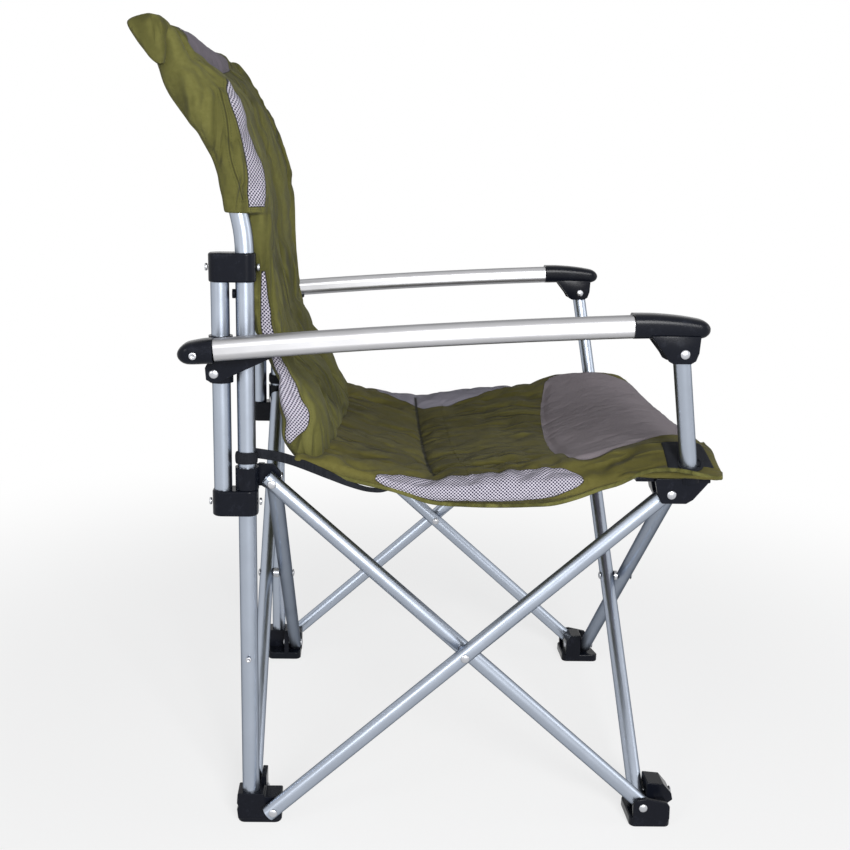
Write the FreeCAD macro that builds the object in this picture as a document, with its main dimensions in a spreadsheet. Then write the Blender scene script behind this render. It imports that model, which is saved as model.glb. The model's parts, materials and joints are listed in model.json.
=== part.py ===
"""Folding camp chair: four legs joined by crossed struts, a padded seat and back, and two swinging arms.

The row frame has +Z up, the sitter faces -Y, and the origin is on the floor under the middle of the
open chair.  Every place is worked out from the cells of the sheet "Dims".  The side at -X is the
sitter's right.  Distances from the middle plane are called reach, and heights are above the floor.
"""
import FreeCAD, Part
import math
import os
import Sketcher
from FreeCAD import Placement, Rotation, Vector

RIGHT, LEFT = -1, 1
SIDES = (("right", RIGHT), ("left", LEFT))

DIMENSIONS = {
    # name of the cell: millimetres
    "crossing_y": -42.5,        # the side struts cross here, in the row frame
    "half_span": 238,           # from a crossing to the pivots at the feet and hubs
    "pivot_low": 27,            # height of the foot pivots
    "pivot_high": 454,          # height of the hub pivots, open chair
    "strut_dia": 20,
    "strut_over": 9,            # strut end past its pivot
    "spacer_dia": 14,           # ring between two crossing struts
    "tube_dia": 22,
    "wall": 1.3,
    "inner_reach": 268,         # inner side strut, back tube and arm rail
    "strut_step": 24.7,         # from one strut's axis to the strut that crosses it
    "rear_near": 239,           # rear crossed strut beside the side strut, behind the crossing
    "rear_far": 267.5,          # the other rear crossed strut
    "tube_back": 268.5,         # axis of the back tube, behind the crossing
    "rail_back": 297.7,         # axis of the arm rail, behind the crossing
    "gap": 0.3,                 # between pieces that move past each other
    "rivet_dia": 6,
    "rivet_play": 0.1,          # radial
    "rivet_head": 11,
    "head_rise": 2.2,
    "head_stand_off": 0.6,      # between a clamp or leg and its rivet head
    "foot_top": 42,
    "foot_base": 12.5,
    "foot_inner": 226,          # reach of a foot's or hub's inner face
    "foot_cheek": 6,            # wall outside a front foot's strut slot
    "web_front": 249.5,         # rear web between the two rear strut planes
    "web_back": 257,
    "socket_wall": 3,
    "tube_seat": 8,             # height of the back tube's lower end
    "bend_one": 750,            # back tube: first and second bend, and its top end
    "bend_two": 838,
    "lean_two": 288,
    "tube_top": 968,
    "lean_top": 352,
    "bend_radius": 170,
    "rail_low": 418,
    "rail_top": 727,
    "lower_clamp_low": 414,
    "lower_clamp_top": 446,
    "upper_clamp_low": 697,
    "upper_clamp_top": 731,
    "clamp_front": 255,
    "clamp_back": 310.5,
    "clamp_half": 15,
    "button_z": 683,
    "button_rise": 3.5,
    "button_dia": 11,
    "leg_rivet_z": 230,
    "hub_low": 446.6,
    "hub_top": 474,
    "front_hub_low": 443,
    "front_hub_top": 474,
    "cheek_reach": 303.6,       # inner face of the front hub's outer cheek
    "cheek_thick": 5,
    "post_dia": 20,
    "post_foot_reach": 301,
    "post_foot_front": 259,
    "post_foot_z": 476,
    "arm_reach": 319,
    "arm_pivot_front": 234,
    "arm_pivot_z": 626.5,
    "arm_wide": 30,
    "arm_tall": 25,
    "arm_round": 9,
    "cap_half": 17,             # half the width of the arm's moulded caps and bracket
    "fork_half": 13.5,          # half the width of the bracket's slot, for the leaning post
    "arm_front": 176,           # silver tube: front end, before the crossing
    "arm_front_z": 655.5,
    "arm_mid": 52,
    "arm_mid_z": 643.5,
    "arm_back": 299,
    "arm_back_z": 624.5,
    "collar_back": 302.8,       # pivot between the collar and the arm's rear bracket
    "collar_z": 593,
    "collar_low": 578,
    "collar_top": 634,
    "ear_reach": 291,
    "bracket_reach": 301,       # outer face of the arm's rear bracket
    "seat_half": 286,
    "corner_reach": 323,        # the seat's front corners, outside the arm posts
    "back_half": 251,
    "back_hollow": 23,          # how far the middle of the back's front lies behind its sides
    "rear_hollow": 14,
}

doc = FreeCAD.newDocument("camp_chair")
sheet = doc.addObject("Spreadsheet::Sheet", "Dims")
for row, (alias, number) in enumerate(DIMENSIONS.items(), start=1):
    sheet.set(f"A{row}", str(number))
    sheet.setAlias(f"A{row}", alias)
doc.recompute()


def size(expression):
    """The number that an expression on the sheet's cells gives now."""
    return float(sheet.evalExpression(str(expression)))


def cell(expression):
    """The same expression, written for an object outside the sheet."""
    words = str(expression).replace("(", "( ").replace(")", " )").split()
    return " ".join("Dims." + word if word in DIMENSIONS else word for word in words)


def behind(expression):
    """A place along Y, given its distance behind the struts' crossing."""
    return f"crossing_y + {expression}"


def before(expression):
    """A place along Y, given its distance in front of the struts' crossing."""
    return f"crossing_y - ( {expression} )"


def point(x, y, z):
    return Vector(size(x), size(y), size(z))


def bind(item, **expressions):
    for prop, expression in expressions.items():
        item.setExpression(prop, cell(expression))
    return item


def hidden(kind, label):
    """A building block: a document object that is not a sub-part by itself."""
    return doc.addObject(kind, label)


def block(label, x, y, z, side=RIGHT):
    """A box between two planes along each axis; x holds reaches on the given side."""
    box = hidden("Part::Box", label)
    near, far = sorted((side * size(x[0]), side * size(x[1])))
    low_y, high_y = sorted((size(y[0]), size(y[1])))
    bind(box, Length=f"abs( {x[1]} - ( {x[0]} ) )", Width=f"abs( {y[1]} - ( {y[0]} ) )",
         Height=f"abs( {z[1]} - ( {z[0]} ) )")
    box.Placement.Base = Vector(near, low_y, min(size(z[0]), size(z[1])))
    return box


def rod(label, start, end, diameter):
    """A round bar between two points; its diameter is an expression."""
    bar = hidden("Part::Cylinder", label)
    bind(bar, Radius=f"( {diameter} ) / 2")
    bar.Height = (end - start).Length
    bar.Placement = Placement(start, Rotation(Vector(0, 0, 1), end - start))
    return bar


def draw(sketch, outline):
    """Draws a closed, straight-sided outline whose corners are pairs of expressions."""
    corners = [Vector(size(across), size(up), 0) for across, up in outline]
    count = len(corners)
    for index in range(count):
        sketch.addGeometry(Part.LineSegment(corners[index], corners[(index + 1) % count]), False)
    for index in range(count):
        sketch.addConstraint(Sketcher.Constraint("Coincident", index, 2, (index + 1) % count, 1))
    for index, (across, up) in enumerate(outline):
        for kind, expression in (("DistanceX", across), ("DistanceY", up)):
            number = sketch.addConstraint(
                Sketcher.Constraint(kind, -1, 1, index, 1, size(expression)))
            sketch.setExpression(f"Constraints[{number}]", cell(expression))


def plate(label, plane, outline, low, high, corner, edge=0.8):
    """A PartDesign pad of a straight-sided outline, with its corners and then its rims rounded.

    outline holds pairs of expressions: Y and Z on the plane "YZ", X and Z on "XZ", X and Y on "XY".
    low and high are the two ends along the plane's own axis.
    """
    body = doc.addObject("PartDesign::Body", label)
    sketch = body.newObject("Sketcher::SketchObject", label + "_outline")
    origin_plane = next(item for item in body.Origin.OriginFeatures if item.Role == plane + "_Plane")
    sketch.AttachmentSupport = (origin_plane, "")
    sketch.MapMode = "FlatFace"
    ends = sorted((size(low), size(high)))
    sketch.AttachmentOffset = Placement(Vector(0, 0, -ends[1] if plane == "XZ" else ends[0]), Rotation())
    draw(sketch, outline)
    pad = body.newObject("PartDesign::Pad", label + "_pad")
    pad.Profile = sketch
    bind(pad, Length=f"abs( {high} - ( {low} ) )")
    doc.recompute()
    along = {"YZ": Vector(1, 0, 0), "XZ": Vector(0, 1, 0), "XY": Vector(0, 0, 1)}[plane]
    if corner:
        rounded(body, pad, label + "_corners", corner, lambda line: abs(line.dot(along)) > 0.99)
    if edge:
        rounded(body, body.Tip, label + "_rims", edge, lambda line: abs(line.dot(along)) < 0.01)
    return body


def rounded(body, base, label, radius, wanted):
    """A fillet on the edges of base whose direction at their first end passes the test."""
    names = []
    for number, line in enumerate(base.Shape.Edges, start=1):
        direction = line.tangentAt(line.FirstParameter)
        if wanted(direction):
            names.append(f"Edge{number}")
    fillet = body.newObject("PartDesign::Fillet", label)
    fillet.Base = (base, names)
    fillet.Radius = radius
    doc.recompute()


def joined(label, *pieces):
    """Several building blocks as one sub-part, or as a group of separate solids."""
    if len(pieces) == 1:
        whole = pieces[0]
    else:
        whole = doc.addObject("Part::MultiFuse", label)
        whole.Shapes = list(pieces)
        whole.Refine = True
    whole.Label = label
    return whole


def cut(label, base, *tools):
    """The base without the tools."""
    tool = tools[0]
    if len(tools) > 1:
        tool = hidden("Part::MultiFuse", label + "_tools")
        tool.Shapes = list(tools)
    result = doc.addObject("Part::Cut", label)
    result.Base = base
    result.Tool = tool
    result.Refine = True
    result.Label = label
    return result


SUB_PARTS = []


def keep(item):
    """Marks a document object as a sub-part that is written to its own file."""
    SUB_PARTS.append(item)
    return item


# ---------------------------------------------------------------- rivets and struts

HOLE = "rivet_dia + 2 * rivet_play"
OUTER_HEAD = (False, True)


def rivet(label, start, end, heads=(True, True)):
    """A rivet through the two points, with a domed head outside each end that asks for one."""
    along = (end - start).normalize()
    pieces = [rod(label + "_shank", start, end, "rivet_dia")]
    for wanted, place, outwards in zip(heads, (start, end), (along * -1, along)):
        if wanted:
            dome = hidden("Part::Ellipsoid", label + "_head")
            bind(dome, Radius1="head_rise", Radius2="rivet_head / 2", Radius3="rivet_head / 2")
            dome.Angle1 = 0
            dome.Angle2 = 90
            dome.Placement = Placement(place, Rotation(Vector(0, 0, 1), outwards))
            pieces.append(dome)
    return joined(label, *pieces)


def strut(label, low_pivot, high_pivot, across):
    """A tube between two pivots, with rivet holes at both and at the middle, along across."""
    along = (high_pivot - low_pivot).normalize()
    over = along * size("strut_over")
    outer = rod(label + "_skin", low_pivot - over, high_pivot + over, "strut_dia")
    bore = rod(label + "_bore", low_pivot - over * 1.5, high_pivot + over * 1.5, "strut_dia - 2 * wall")
    reach = across * size("strut_dia")
    middle = (low_pivot + high_pivot) * 0.5
    holes = [rod(label + "_hole", spot - reach, spot + reach, HOLE)
             for spot in (low_pivot, middle, high_pivot)]
    return keep(cut(label, outer, bore, *holes))


SIDE_AXIS = Vector(1, 0, 0)
CROSS_AXIS = Vector(0, 1, 0)
OUTER_REACH = "inner_reach + strut_step"
FRONT_FAR = "( half_span + strut_step )"


def side_struts():
    """Each side: the inner strut runs from the front foot, the outer one from the rear foot."""
    for word, side in SIDES:
        inner_x, outer_x = f"{side} * inner_reach", f"{side} * ( {OUTER_REACH} )"
        strut(word + "_inner_side_strut", point(inner_x, before("half_span"), "pivot_low"),
              point(inner_x, behind("half_span"), "pivot_high"), SIDE_AXIS)
        strut(word + "_outer_side_strut", point(outer_x, behind("half_span"), "pivot_low"),
              point(outer_x, before("half_span"), "pivot_high"), SIDE_AXIS)
        crossing(word + "_side_crossing_rivet", point(inner_x, "crossing_y", crossing_height()),
                 point(outer_x, "crossing_y", crossing_height()))


def crossing_height():
    return "( pivot_low + pivot_high ) / 2"


def crossing(label, first, second):
    """The rivet where two struts cross, with the spacer that holds them apart."""
    along = (second - first).normalize()
    half = size("strut_dia") / 2
    clear = size("gap")
    pin = rivet(label + "_pin", first - along * (half + clear), second + along * (half + clear))
    spacer = rod(label + "_spacer", first + along * (half + clear),
                 second - along * (half + clear), "spacer_dia")
    return keep(joined(label, pin, spacer))


def cross_struts():
    """Front and rear: one strut from the right foot and one from the left, in two planes."""
    for word, near, far in (("front", before("half_span"), before(FRONT_FAR)),
                            ("rear", behind("rear_far"), behind("rear_near"))):
        strut(word + "_strut_from_right", point("-1 * half_span", near, "pivot_low"),
              point("half_span", near, "pivot_high"), CROSS_AXIS)
        strut(word + "_strut_from_left", point("half_span", far, "pivot_low"),
              point("-1 * half_span", far, "pivot_high"), CROSS_AXIS)
        crossing(word + "_crossing_rivet", point(0, near, crossing_height()),
                 point(0, far, crossing_height()))


# ---------------------------------------------------------------- feet

def rear_feet():
    """Each rear foot holds the back tube in a socket, a side strut outside and a rear strut on its web."""
    for word, side in SIDES:
        name = word + "_rear_foot"
        outer_face = "inner_reach + strut_step - strut_dia / 2 - gap"
        inner, outer = f"{side} * foot_inner", f"{side} * ( {outer_face} - 1.5 )"
        base = plate(name + "_base", "XY",
                     [(inner, behind("229")), (outer, behind("229")),
                      (outer, behind("285")), (inner, behind("285"))],
                     "0", "foot_base", 9, 2)
        shoe = plate(name + "_shoe", "YZ",
                     [(behind("228"), "6"), (behind("284.5"), "6"), (behind("286"), "20"),
                      (behind("284"), "24"), (behind("286"), "28"), (behind("285"), "foot_top"),
                      (behind("251.5"), "foot_top"), (behind("250"), "38"), (behind("228"), "38")],
                     f"{side} * 253", f"{side} * ( {outer_face} )", 2, 1)
        web = plate(name + "_web", "YZ",
                    [(behind("web_front"), "8"), (behind("web_back"), "8"), (behind("web_back"), "40"),
                     (behind("web_back - 1"), "52"), (behind("web_front"), "52")],
                    f"{side} * foot_inner", f"{side} * 256", 1, 0.8)
        pivot_y = behind("half_span")
        socket = rod(name + "_socket", point(f"{side} * inner_reach", behind("tube_back"), "tube_seat"),
                     point(f"{side} * inner_reach", behind("tube_back"), "foot_top + 20"), "tube_dia")
        side_hole = rod(name + "_side_hole", point(f"{side} * 240", pivot_y, "pivot_low"),
                        point(f"{side} * ( {outer_face} + 5 )", pivot_y, "pivot_low"), HOLE)
        web_hole = rod(name + "_web_hole", point(f"{side} * half_span", behind("225"), "pivot_low"),
                       point(f"{side} * half_span", behind("290"), "pivot_low"), HOLE)
        keep(cut(name, joined(name + "_body", base, shoe, web), socket, side_hole, web_hole))
        side_pin = rivet(name + "_side_pin", point(f"{side} * 256", pivot_y, "pivot_low"),
                         point(f"{side} * ( {OUTER_REACH} + strut_dia / 2 + gap )", pivot_y, "pivot_low"),
                         OUTER_HEAD)
        web_pin = rear_web_pin(name, side, "pivot_low", side == RIGHT)
        keep(joined(name + "_rivets", side_pin, web_pin))


def rear_web_pin(name, side, pivot_z, strut_is_far):
    """The rivet through the web that stands between the two rear struts, and through its strut."""
    web_y, head_y = behind("web_back + gap"), behind("rear_near - strut_dia / 2 - gap")
    if strut_is_far:
        web_y, head_y = behind("web_front - gap"), behind("rear_far + strut_dia / 2 + gap")
    return rivet(name + "_web_pin", point(f"{side} * half_span", web_y, pivot_z),
                 point(f"{side} * half_span", head_y, pivot_z))


def front_feet():
    """Each front foot has a slot for the side strut and a thick lug for the front strut."""
    for word, side in SIDES:
        name = word + "_front_foot"
        slot_in = "( inner_reach - strut_dia / 2 - gap )"
        slot_out = "( inner_reach + strut_dia / 2 + gap )"
        inner, outer = f"{side} * foot_inner", f"{side} * ( {slot_out} + foot_cheek )"
        base = plate(name + "_base", "XY",
                     [(inner, before("222")), (outer, before("222")),
                      (outer, before("273")), (inner, before("284"))],
                     "0", "foot_base", 8, 2)
        cheek = plate(name + "_cheek", "YZ",
                      [(before("226"), "6"), (before("271"), "6"), (before("273"), "12"),
                       (before("272.5"), "29"), (before("269"), "34"), (before("241"), "40"),
                       (before("229"), "38"), (before("225"), "30")],
                      f"{side} * {slot_out}", outer, 3, 1.2)
        if side == RIGHT:
            lug_low, lug_high = before("283"), before("half_span + strut_dia / 2 + gap")
            head = before("half_span - strut_dia / 2 - gap")
            lug = [(lug_high, "8"), (before("281"), "8"), (before("277"), "19"), (lug_low, "24"),
                   (before("281"), "33"), (before("270"), "46"), (lug_high, "48")]
            lug_face = lug_low
        else:
            lug_low, lug_high = before("half_span + strut_step - strut_dia / 2 - gap"), before("228")
            head = before(f"{FRONT_FAR} + strut_dia / 2 + gap")
            lug = [(lug_high, "8"), (lug_low, "8"), (lug_low, "48"), (before("236"), "47"), (lug_high, "36")]
            lug_face = lug_high
        lug_block = plate(name + "_lug", "YZ", lug, inner, f"{side} * {slot_in}", 1.5, 1)
        near, far = f"{side} * {slot_in}", f"{side} * ( {slot_out} + 4 )"
        heel = plate(name + "_heel", "XY",
                     [(near, before("258")), (far, before("258")),
                      (far, before("271")), (near, before("271"))],
                     "8", "28", 0, 1)
        pivot_y = before("half_span")
        side_hole = rod(name + "_side_hole", point(f"{side} * ( {slot_in} - 12 )", pivot_y, "pivot_low"),
                        point(f"{side} * ( {slot_out} + 10 )", pivot_y, "pivot_low"), HOLE)
        lug_hole = rod(name + "_lug_hole", point(f"{side} * half_span", before("215"), "pivot_low"),
                       point(f"{side} * half_span", before("290"), "pivot_low"), HOLE)
        keep(cut(name, joined(name + "_body", base, cheek, lug_block, heel), side_hole, lug_hole))
        side_pin = rivet(name + "_side_pin", point(near, pivot_y, "pivot_low"),
                         point(outer, pivot_y, "pivot_low"), OUTER_HEAD)
        lug_pin = rivet(name + "_lug_pin", point(f"{side} * half_span", lug_face, "pivot_low"),
                        point(f"{side} * half_span", head, "pivot_low"))
        keep(joined(name + "_rivets", side_pin, lug_pin))


# ---------------------------------------------------------------- back frame

def bent_path(places, radius):
    """Straight runs joined by tangent arcs of one radius, as a wire."""
    edges = []
    start = places[0]
    for corner, after in zip(places[1:-1], places[2:]):
        incoming = (corner - start).normalize()
        outgoing = (after - corner).normalize()
        trim = radius * math.tan(incoming.getAngle(outgoing) / 2)
        first = corner - incoming * trim
        last = corner + outgoing * trim
        bisector = (outgoing - incoming).normalize()
        reach = (radius * radius + trim * trim) ** 0.5 - radius
        edges.append(Part.LineSegment(start, first).toShape())
        edges.append(Part.Arc(first, corner + bisector * reach, last).toShape())
        start = last
    edges.append(Part.LineSegment(start, places[-1]).toShape())
    return Part.Wire(edges)


def swept(label, wire, diameter):
    """A round bar along a wire that starts upwards."""
    spine = hidden("Part::Feature", label + "_line")
    spine.Shape = wire
    ring = hidden("Part::Circle", label + "_ring")
    bind(ring, Radius=f"( {diameter} ) / 2")
    ring.Placement = Placement(wire.OrderedVertexes[0].Point, Rotation())
    sweep = hidden("Part::Sweep", label)
    sweep.Sections = [ring]
    sweep.Spine = (spine, [f"Edge{number}" for number in range(1, len(wire.Edges) + 1)])
    sweep.Solid = True
    sweep.Frenet = False
    return sweep


def back_tubes():
    """Each back tube stands in the rear foot and is the rear leg and the side of the back."""
    for word, side in SIDES:
        name = word + "_back_tube"
        x = f"{side} * inner_reach"
        places = [point(x, behind("tube_back"), "tube_seat"), point(x, behind("tube_back"), "bend_one"),
                  point(x, behind("lean_two"), "bend_two"), point(x, behind("lean_top"), "tube_top")]
        wire = bent_path(places, size("bend_radius"))
        skin = swept(name + "_skin", wire, "tube_dia")
        bore = swept(name + "_bore", wire, "tube_dia - 2 * wall")
        keep(cut(name, skin, bore))


def arm_rails():
    """Each rail stands behind the back tube, and the arm's collar slides on it."""
    for word, side in SIDES:
        name = word + "_arm_rail"
        low = point(f"{side} * inner_reach", behind("rail_back"), "rail_low")
        high = point(f"{side} * inner_reach", behind("rail_back"), "rail_top")
        keep(cut(name, rod(name + "_skin", low, high, "tube_dia"),
                 rod(name + "_bore", low, high, "tube_dia - 2 * wall")))


def clamps():
    """Two moulded clamps on each side hold the back tube and the arm rail together."""
    for word, side in SIDES:
        for place, low, top in (("lower", "lower_clamp_low", "lower_clamp_top"),
                                ("upper", "upper_clamp_low", "upper_clamp_top")):
            name = f"{word}_{place}_clamp"
            inner = f"{side} * ( inner_reach - clamp_half )"
            outer = f"{side} * ( inner_reach + clamp_half )"
            shell = plate(name + "_shell", "XY",
                          [(inner, behind("clamp_front")), (outer, behind("clamp_front")),
                           (outer, behind("clamp_back")), (inner, behind("clamp_back"))],
                          low, top, 12, 2.5)
            bores = []
            for axis in ("tube_back", "rail_back"):
                foot = "rail_low" if (place, axis) == ("lower", "rail_back") else f"{low} - 5"
                head = "rail_top" if (place, axis) == ("upper", "rail_back") else f"{top} + 5"
                bores.append(rod(name + "_bore", point(f"{side} * inner_reach", behind(axis), foot),
                                 point(f"{side} * inner_reach", behind(axis), head), "tube_dia"))
            keep(cut(name, shell, *bores))


def frame_rivets():
    """Rivet heads on the clamps and one on each back tube, low down."""
    for word, side in SIDES:
        heads = []
        outer = f"{side} * ( inner_reach + clamp_half )"
        places = [point(outer, behind("( clamp_front + clamp_back ) / 2"), middle_z)
                  for middle_z in ("( lower_clamp_low + lower_clamp_top ) / 2",
                                   "( upper_clamp_low + upper_clamp_top ) / 2")]
        places.append(point(f"{side} * ( inner_reach + tube_dia / 2 )", behind("tube_back"), "leg_rivet_z"))
        stand_off = Vector(side * size("head_stand_off"), 0, 0)
        for place in places:
            heads.append(rivet(f"{word}_frame_head", place, place + stand_off, OUTER_HEAD))
        keep(joined(word + "_frame_rivets", *heads))


def stop_buttons():
    """A moulded stop on the back tube that ends the rear hub's travel."""
    for word, side in SIDES:
        name = word + "_hub_stop"
        x = f"{side} * inner_reach"
        start = point(x, behind("tube_back + tube_dia / 2"), "button_z")
        rise = Vector(0, size("button_rise"), 0)
        keep(joined(name, rod(name + "_head", start, start + rise, "button_dia")))


# ---------------------------------------------------------------- hubs

def rear_hubs():
    """Each rear hub slides on its back tube and holds the tops of a side strut and a rear strut."""
    for word, side in SIDES:
        name = word + "_rear_hub"
        x = f"{side} * inner_reach"
        axis_low = point(x, behind("tube_back"), "hub_low")
        axis_top = point(x, behind("tube_back"), "hub_top")
        sleeve = rod(name + "_sleeve", axis_low, axis_top, "tube_dia + 2 * gap + 2 * socket_wall")
        arm_in, arm_out = "( foot_inner + 26 )", "( inner_reach - strut_dia / 2 - gap )"
        arm = plate(name + "_arm", "YZ",
                    [(behind("264"), "hub_low"), (behind("252"), "hub_low"),
                     (behind("246"), "443"), (behind("234"), "443"),
                     (behind("228"), "449"), (behind("228"), "463"), (behind("236"), "474"),
                     (behind("264"), "hub_top")],
                    f"{side} * {arm_in}", f"{side} * {arm_out}", 2, 0.8)
        web = plate(name + "_web", "XZ",
                    [(f"{side} * foot_inner", "hub_low + 0.4"), (f"{side} * {arm_out}", "hub_low + 0.4"),
                     (f"{side} * {arm_out}", "475"), (f"{side} * ( foot_inner + 6 )", "470")],
                    behind("web_front"), behind("web_back"), 2, 0.8)
        tube_bore = rod(name + "_bore", axis_low - Vector(0, 0, 30), axis_top + Vector(0, 0, 30),
                        "tube_dia + 2 * gap")
        pivot_y = behind("half_span")
        side_hole = rod(name + "_side_hole", point(f"{side} * ( {arm_in} - 5 )", pivot_y, "pivot_high"),
                        point(f"{side} * ( {arm_out} + 2 )", pivot_y, "pivot_high"), HOLE)
        web_hole = rod(name + "_web_hole", point(f"{side} * half_span", behind("225"), "pivot_high"),
                       point(f"{side} * half_span", behind("290"), "pivot_high"), HOLE)
        keep(cut(name, joined(name + "_body", sleeve, arm, web), tube_bore, side_hole, web_hole))
        side_pin = rivet(name + "_side_pin", point(f"{side} * {arm_in}", pivot_y, "pivot_high"),
                         point(f"{side} * ( inner_reach + strut_dia / 2 + gap )", pivot_y, "pivot_high"),
                         OUTER_HEAD)
        web_pin = rear_web_pin(name, side, "pivot_high", side == LEFT)
        keep(joined(name + "_rivets", side_pin, web_pin))


def front_hubs():
    """Each front hub holds the tops of a side strut and a front strut, and the arm's post stands in it."""
    for word, side in SIDES:
        name = word + "_front_hub"
        slot_in = "( inner_reach + strut_step - strut_dia / 2 - gap )"
        cheek_out = "( cheek_reach + cheek_thick )"
        cheek_outline = [(before("217"), "front_hub_top"), (before("222"), "452"),
                         (before("227"), "front_hub_low"), (before("256"), "front_hub_low"),
                         (before("264"), "448"), (before("285"), "front_hub_top")]
        cheek = plate(name + "_cheek", "YZ", cheek_outline, f"{side} * cheek_reach",
                      f"{side} * {cheek_out}", 3, 1)
        core = plate(name + "_core", "YZ", cheek_outline, f"{side} * 262", f"{side} * {slot_in}", 3, 1)
        inner = f"{side} * foot_inner"
        middle, outer = f"{side} * ( cheek_reach - 1 )", f"{side} * ( {cheek_out} - 1 )"
        roof = plate(name + "_roof", "XY",
                     [(inner, before("196")), (middle, before("196")), (middle, before("221")),
                      (outer, before("221")), (outer, before("283")), (inner, before("283"))],
                     "front_hub_top - 5.5", "front_hub_top - 0.2", 0, 1)
        if side == RIGHT:
            web_near, web_far = before(f"{FRONT_FAR} - strut_dia / 2 - gap"), before("242")
            head = before(f"{FRONT_FAR} + strut_dia / 2 + gap")
        else:
            web_near, web_far = before("half_span + strut_dia / 2 + gap"), before("258")
            head = before("half_span - strut_dia / 2 - gap")
        web = plate(name + "_web", "XZ",
                    [(inner, "446"), (f"{side} * 266", "446"), (f"{side} * 266", "472"), (inner, "472")],
                    web_near, web_far, 2, 0.8)
        post_low, post_top = post_line(side)
        along = (post_top - post_low).normalize()
        socket = rod(name + "_socket", post_low - along * 6, post_low + along * 12, "post_dia + 7")
        post_bore = rod(name + "_post_bore", post_low, post_low + along * 60, "post_dia")
        side_hole = rod(name + "_side_hole", point(f"{side} * 255", before("half_span"), "pivot_high"),
                        point(f"{side} * ( {cheek_out} + 5 )", before("half_span"), "pivot_high"), HOLE)
        web_hole = rod(name + "_web_hole", point(f"{side} * half_span", before("215"), "pivot_high"),
                       point(f"{side} * half_span", before("290"), "pivot_high"), HOLE)
        whole = joined(name + "_body", cheek, core, roof, web, socket)
        keep(cut(name, whole, post_bore, side_hole, web_hole))
        side_pin = rivet(name + "_side_pin", point(f"{side} * 262", before("half_span"), "pivot_high"),
                         point(f"{side} * {cheek_out}", before("half_span"), "pivot_high"), OUTER_HEAD)
        web_pin = rivet(name + "_web_pin", point(f"{side} * half_span", web_far, "pivot_high"),
                        point(f"{side} * half_span", head, "pivot_high"))
        keep(joined(name + "_rivets", side_pin, web_pin))


def post_line(side):
    """The two ends of an arm post's axis: in the hub, and at the arm's front pivot."""
    low = point(f"{side} * post_foot_reach", before("post_foot_front"), "post_foot_z")
    top = point(f"{side} * arm_reach", before("arm_pivot_front"), "arm_pivot_z")
    return low, top


def arm_posts():
    """Each post is a tube from the front hub to the arm's front pivot."""
    for word, side in SIDES:
        name = word + "_arm_post"
        low, top = post_line(side)
        along = (top - low).normalize()
        end = top + along * 7
        skin = rod(name + "_skin", low, end, "post_dia")
        bore = rod(name + "_bore", low - along * 5, end + along * 5, "post_dia - 2 * wall")
        hole = rod(name + "_hole", top - SIDE_AXIS * 20, top + SIDE_AXIS * 20, HOLE)
        keep(cut(name, skin, bore, hole))


# ---------------------------------------------------------------- arms

def arm_bar(label, side, shrink, extra):
    """A gently arched bar with rounded edges, smaller by shrink all round and longer by extra."""
    places = [point(0, before("arm_front"), "arm_front_z"), point(0, behind("arm_mid"), "arm_mid_z"),
              point(0, behind("arm_back"), "arm_back_z")]
    circle = Part.Arc(*places).toShape().Curve
    spokes = [place - circle.Center for place in places]
    spokes[0] = turned(spokes[0], extra / circle.Radius)
    spokes[2] = turned(spokes[2], -extra / circle.Radius)
    half = size("arm_tall") / 2 - shrink
    upper, lower = ([circle.Center + spoke * (1 + offset / circle.Radius) for spoke in spokes]
                    for offset in (half, -half))
    outline = Part.Wire([Part.Arc(*upper).toShape(),
                         Part.LineSegment(upper[2], lower[2]).toShape(),
                         Part.Arc(*reversed(lower)).toShape(),
                         Part.LineSegment(lower[0], upper[0]).toShape()])
    wide = size("arm_wide") - 2 * shrink
    outline.translate(Vector(side * size("arm_reach") - wide / 2, 0, 0))
    solid = Part.Face(outline).extrude(Vector(wide, 0, 0))
    long_edges = [line for line in solid.Edges if line.Length > size("arm_mid") * 2]
    bar = hidden("Part::Feature", label)
    bar.Shape = solid.makeFillet(size("arm_round") - shrink, long_edges)
    return bar


def turned(spoke, angle):
    """A spoke in the YZ plane, turned about X by an angle in radians."""
    return Rotation(Vector(1, 0, 0), math.degrees(angle)).multVec(spoke)


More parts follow.
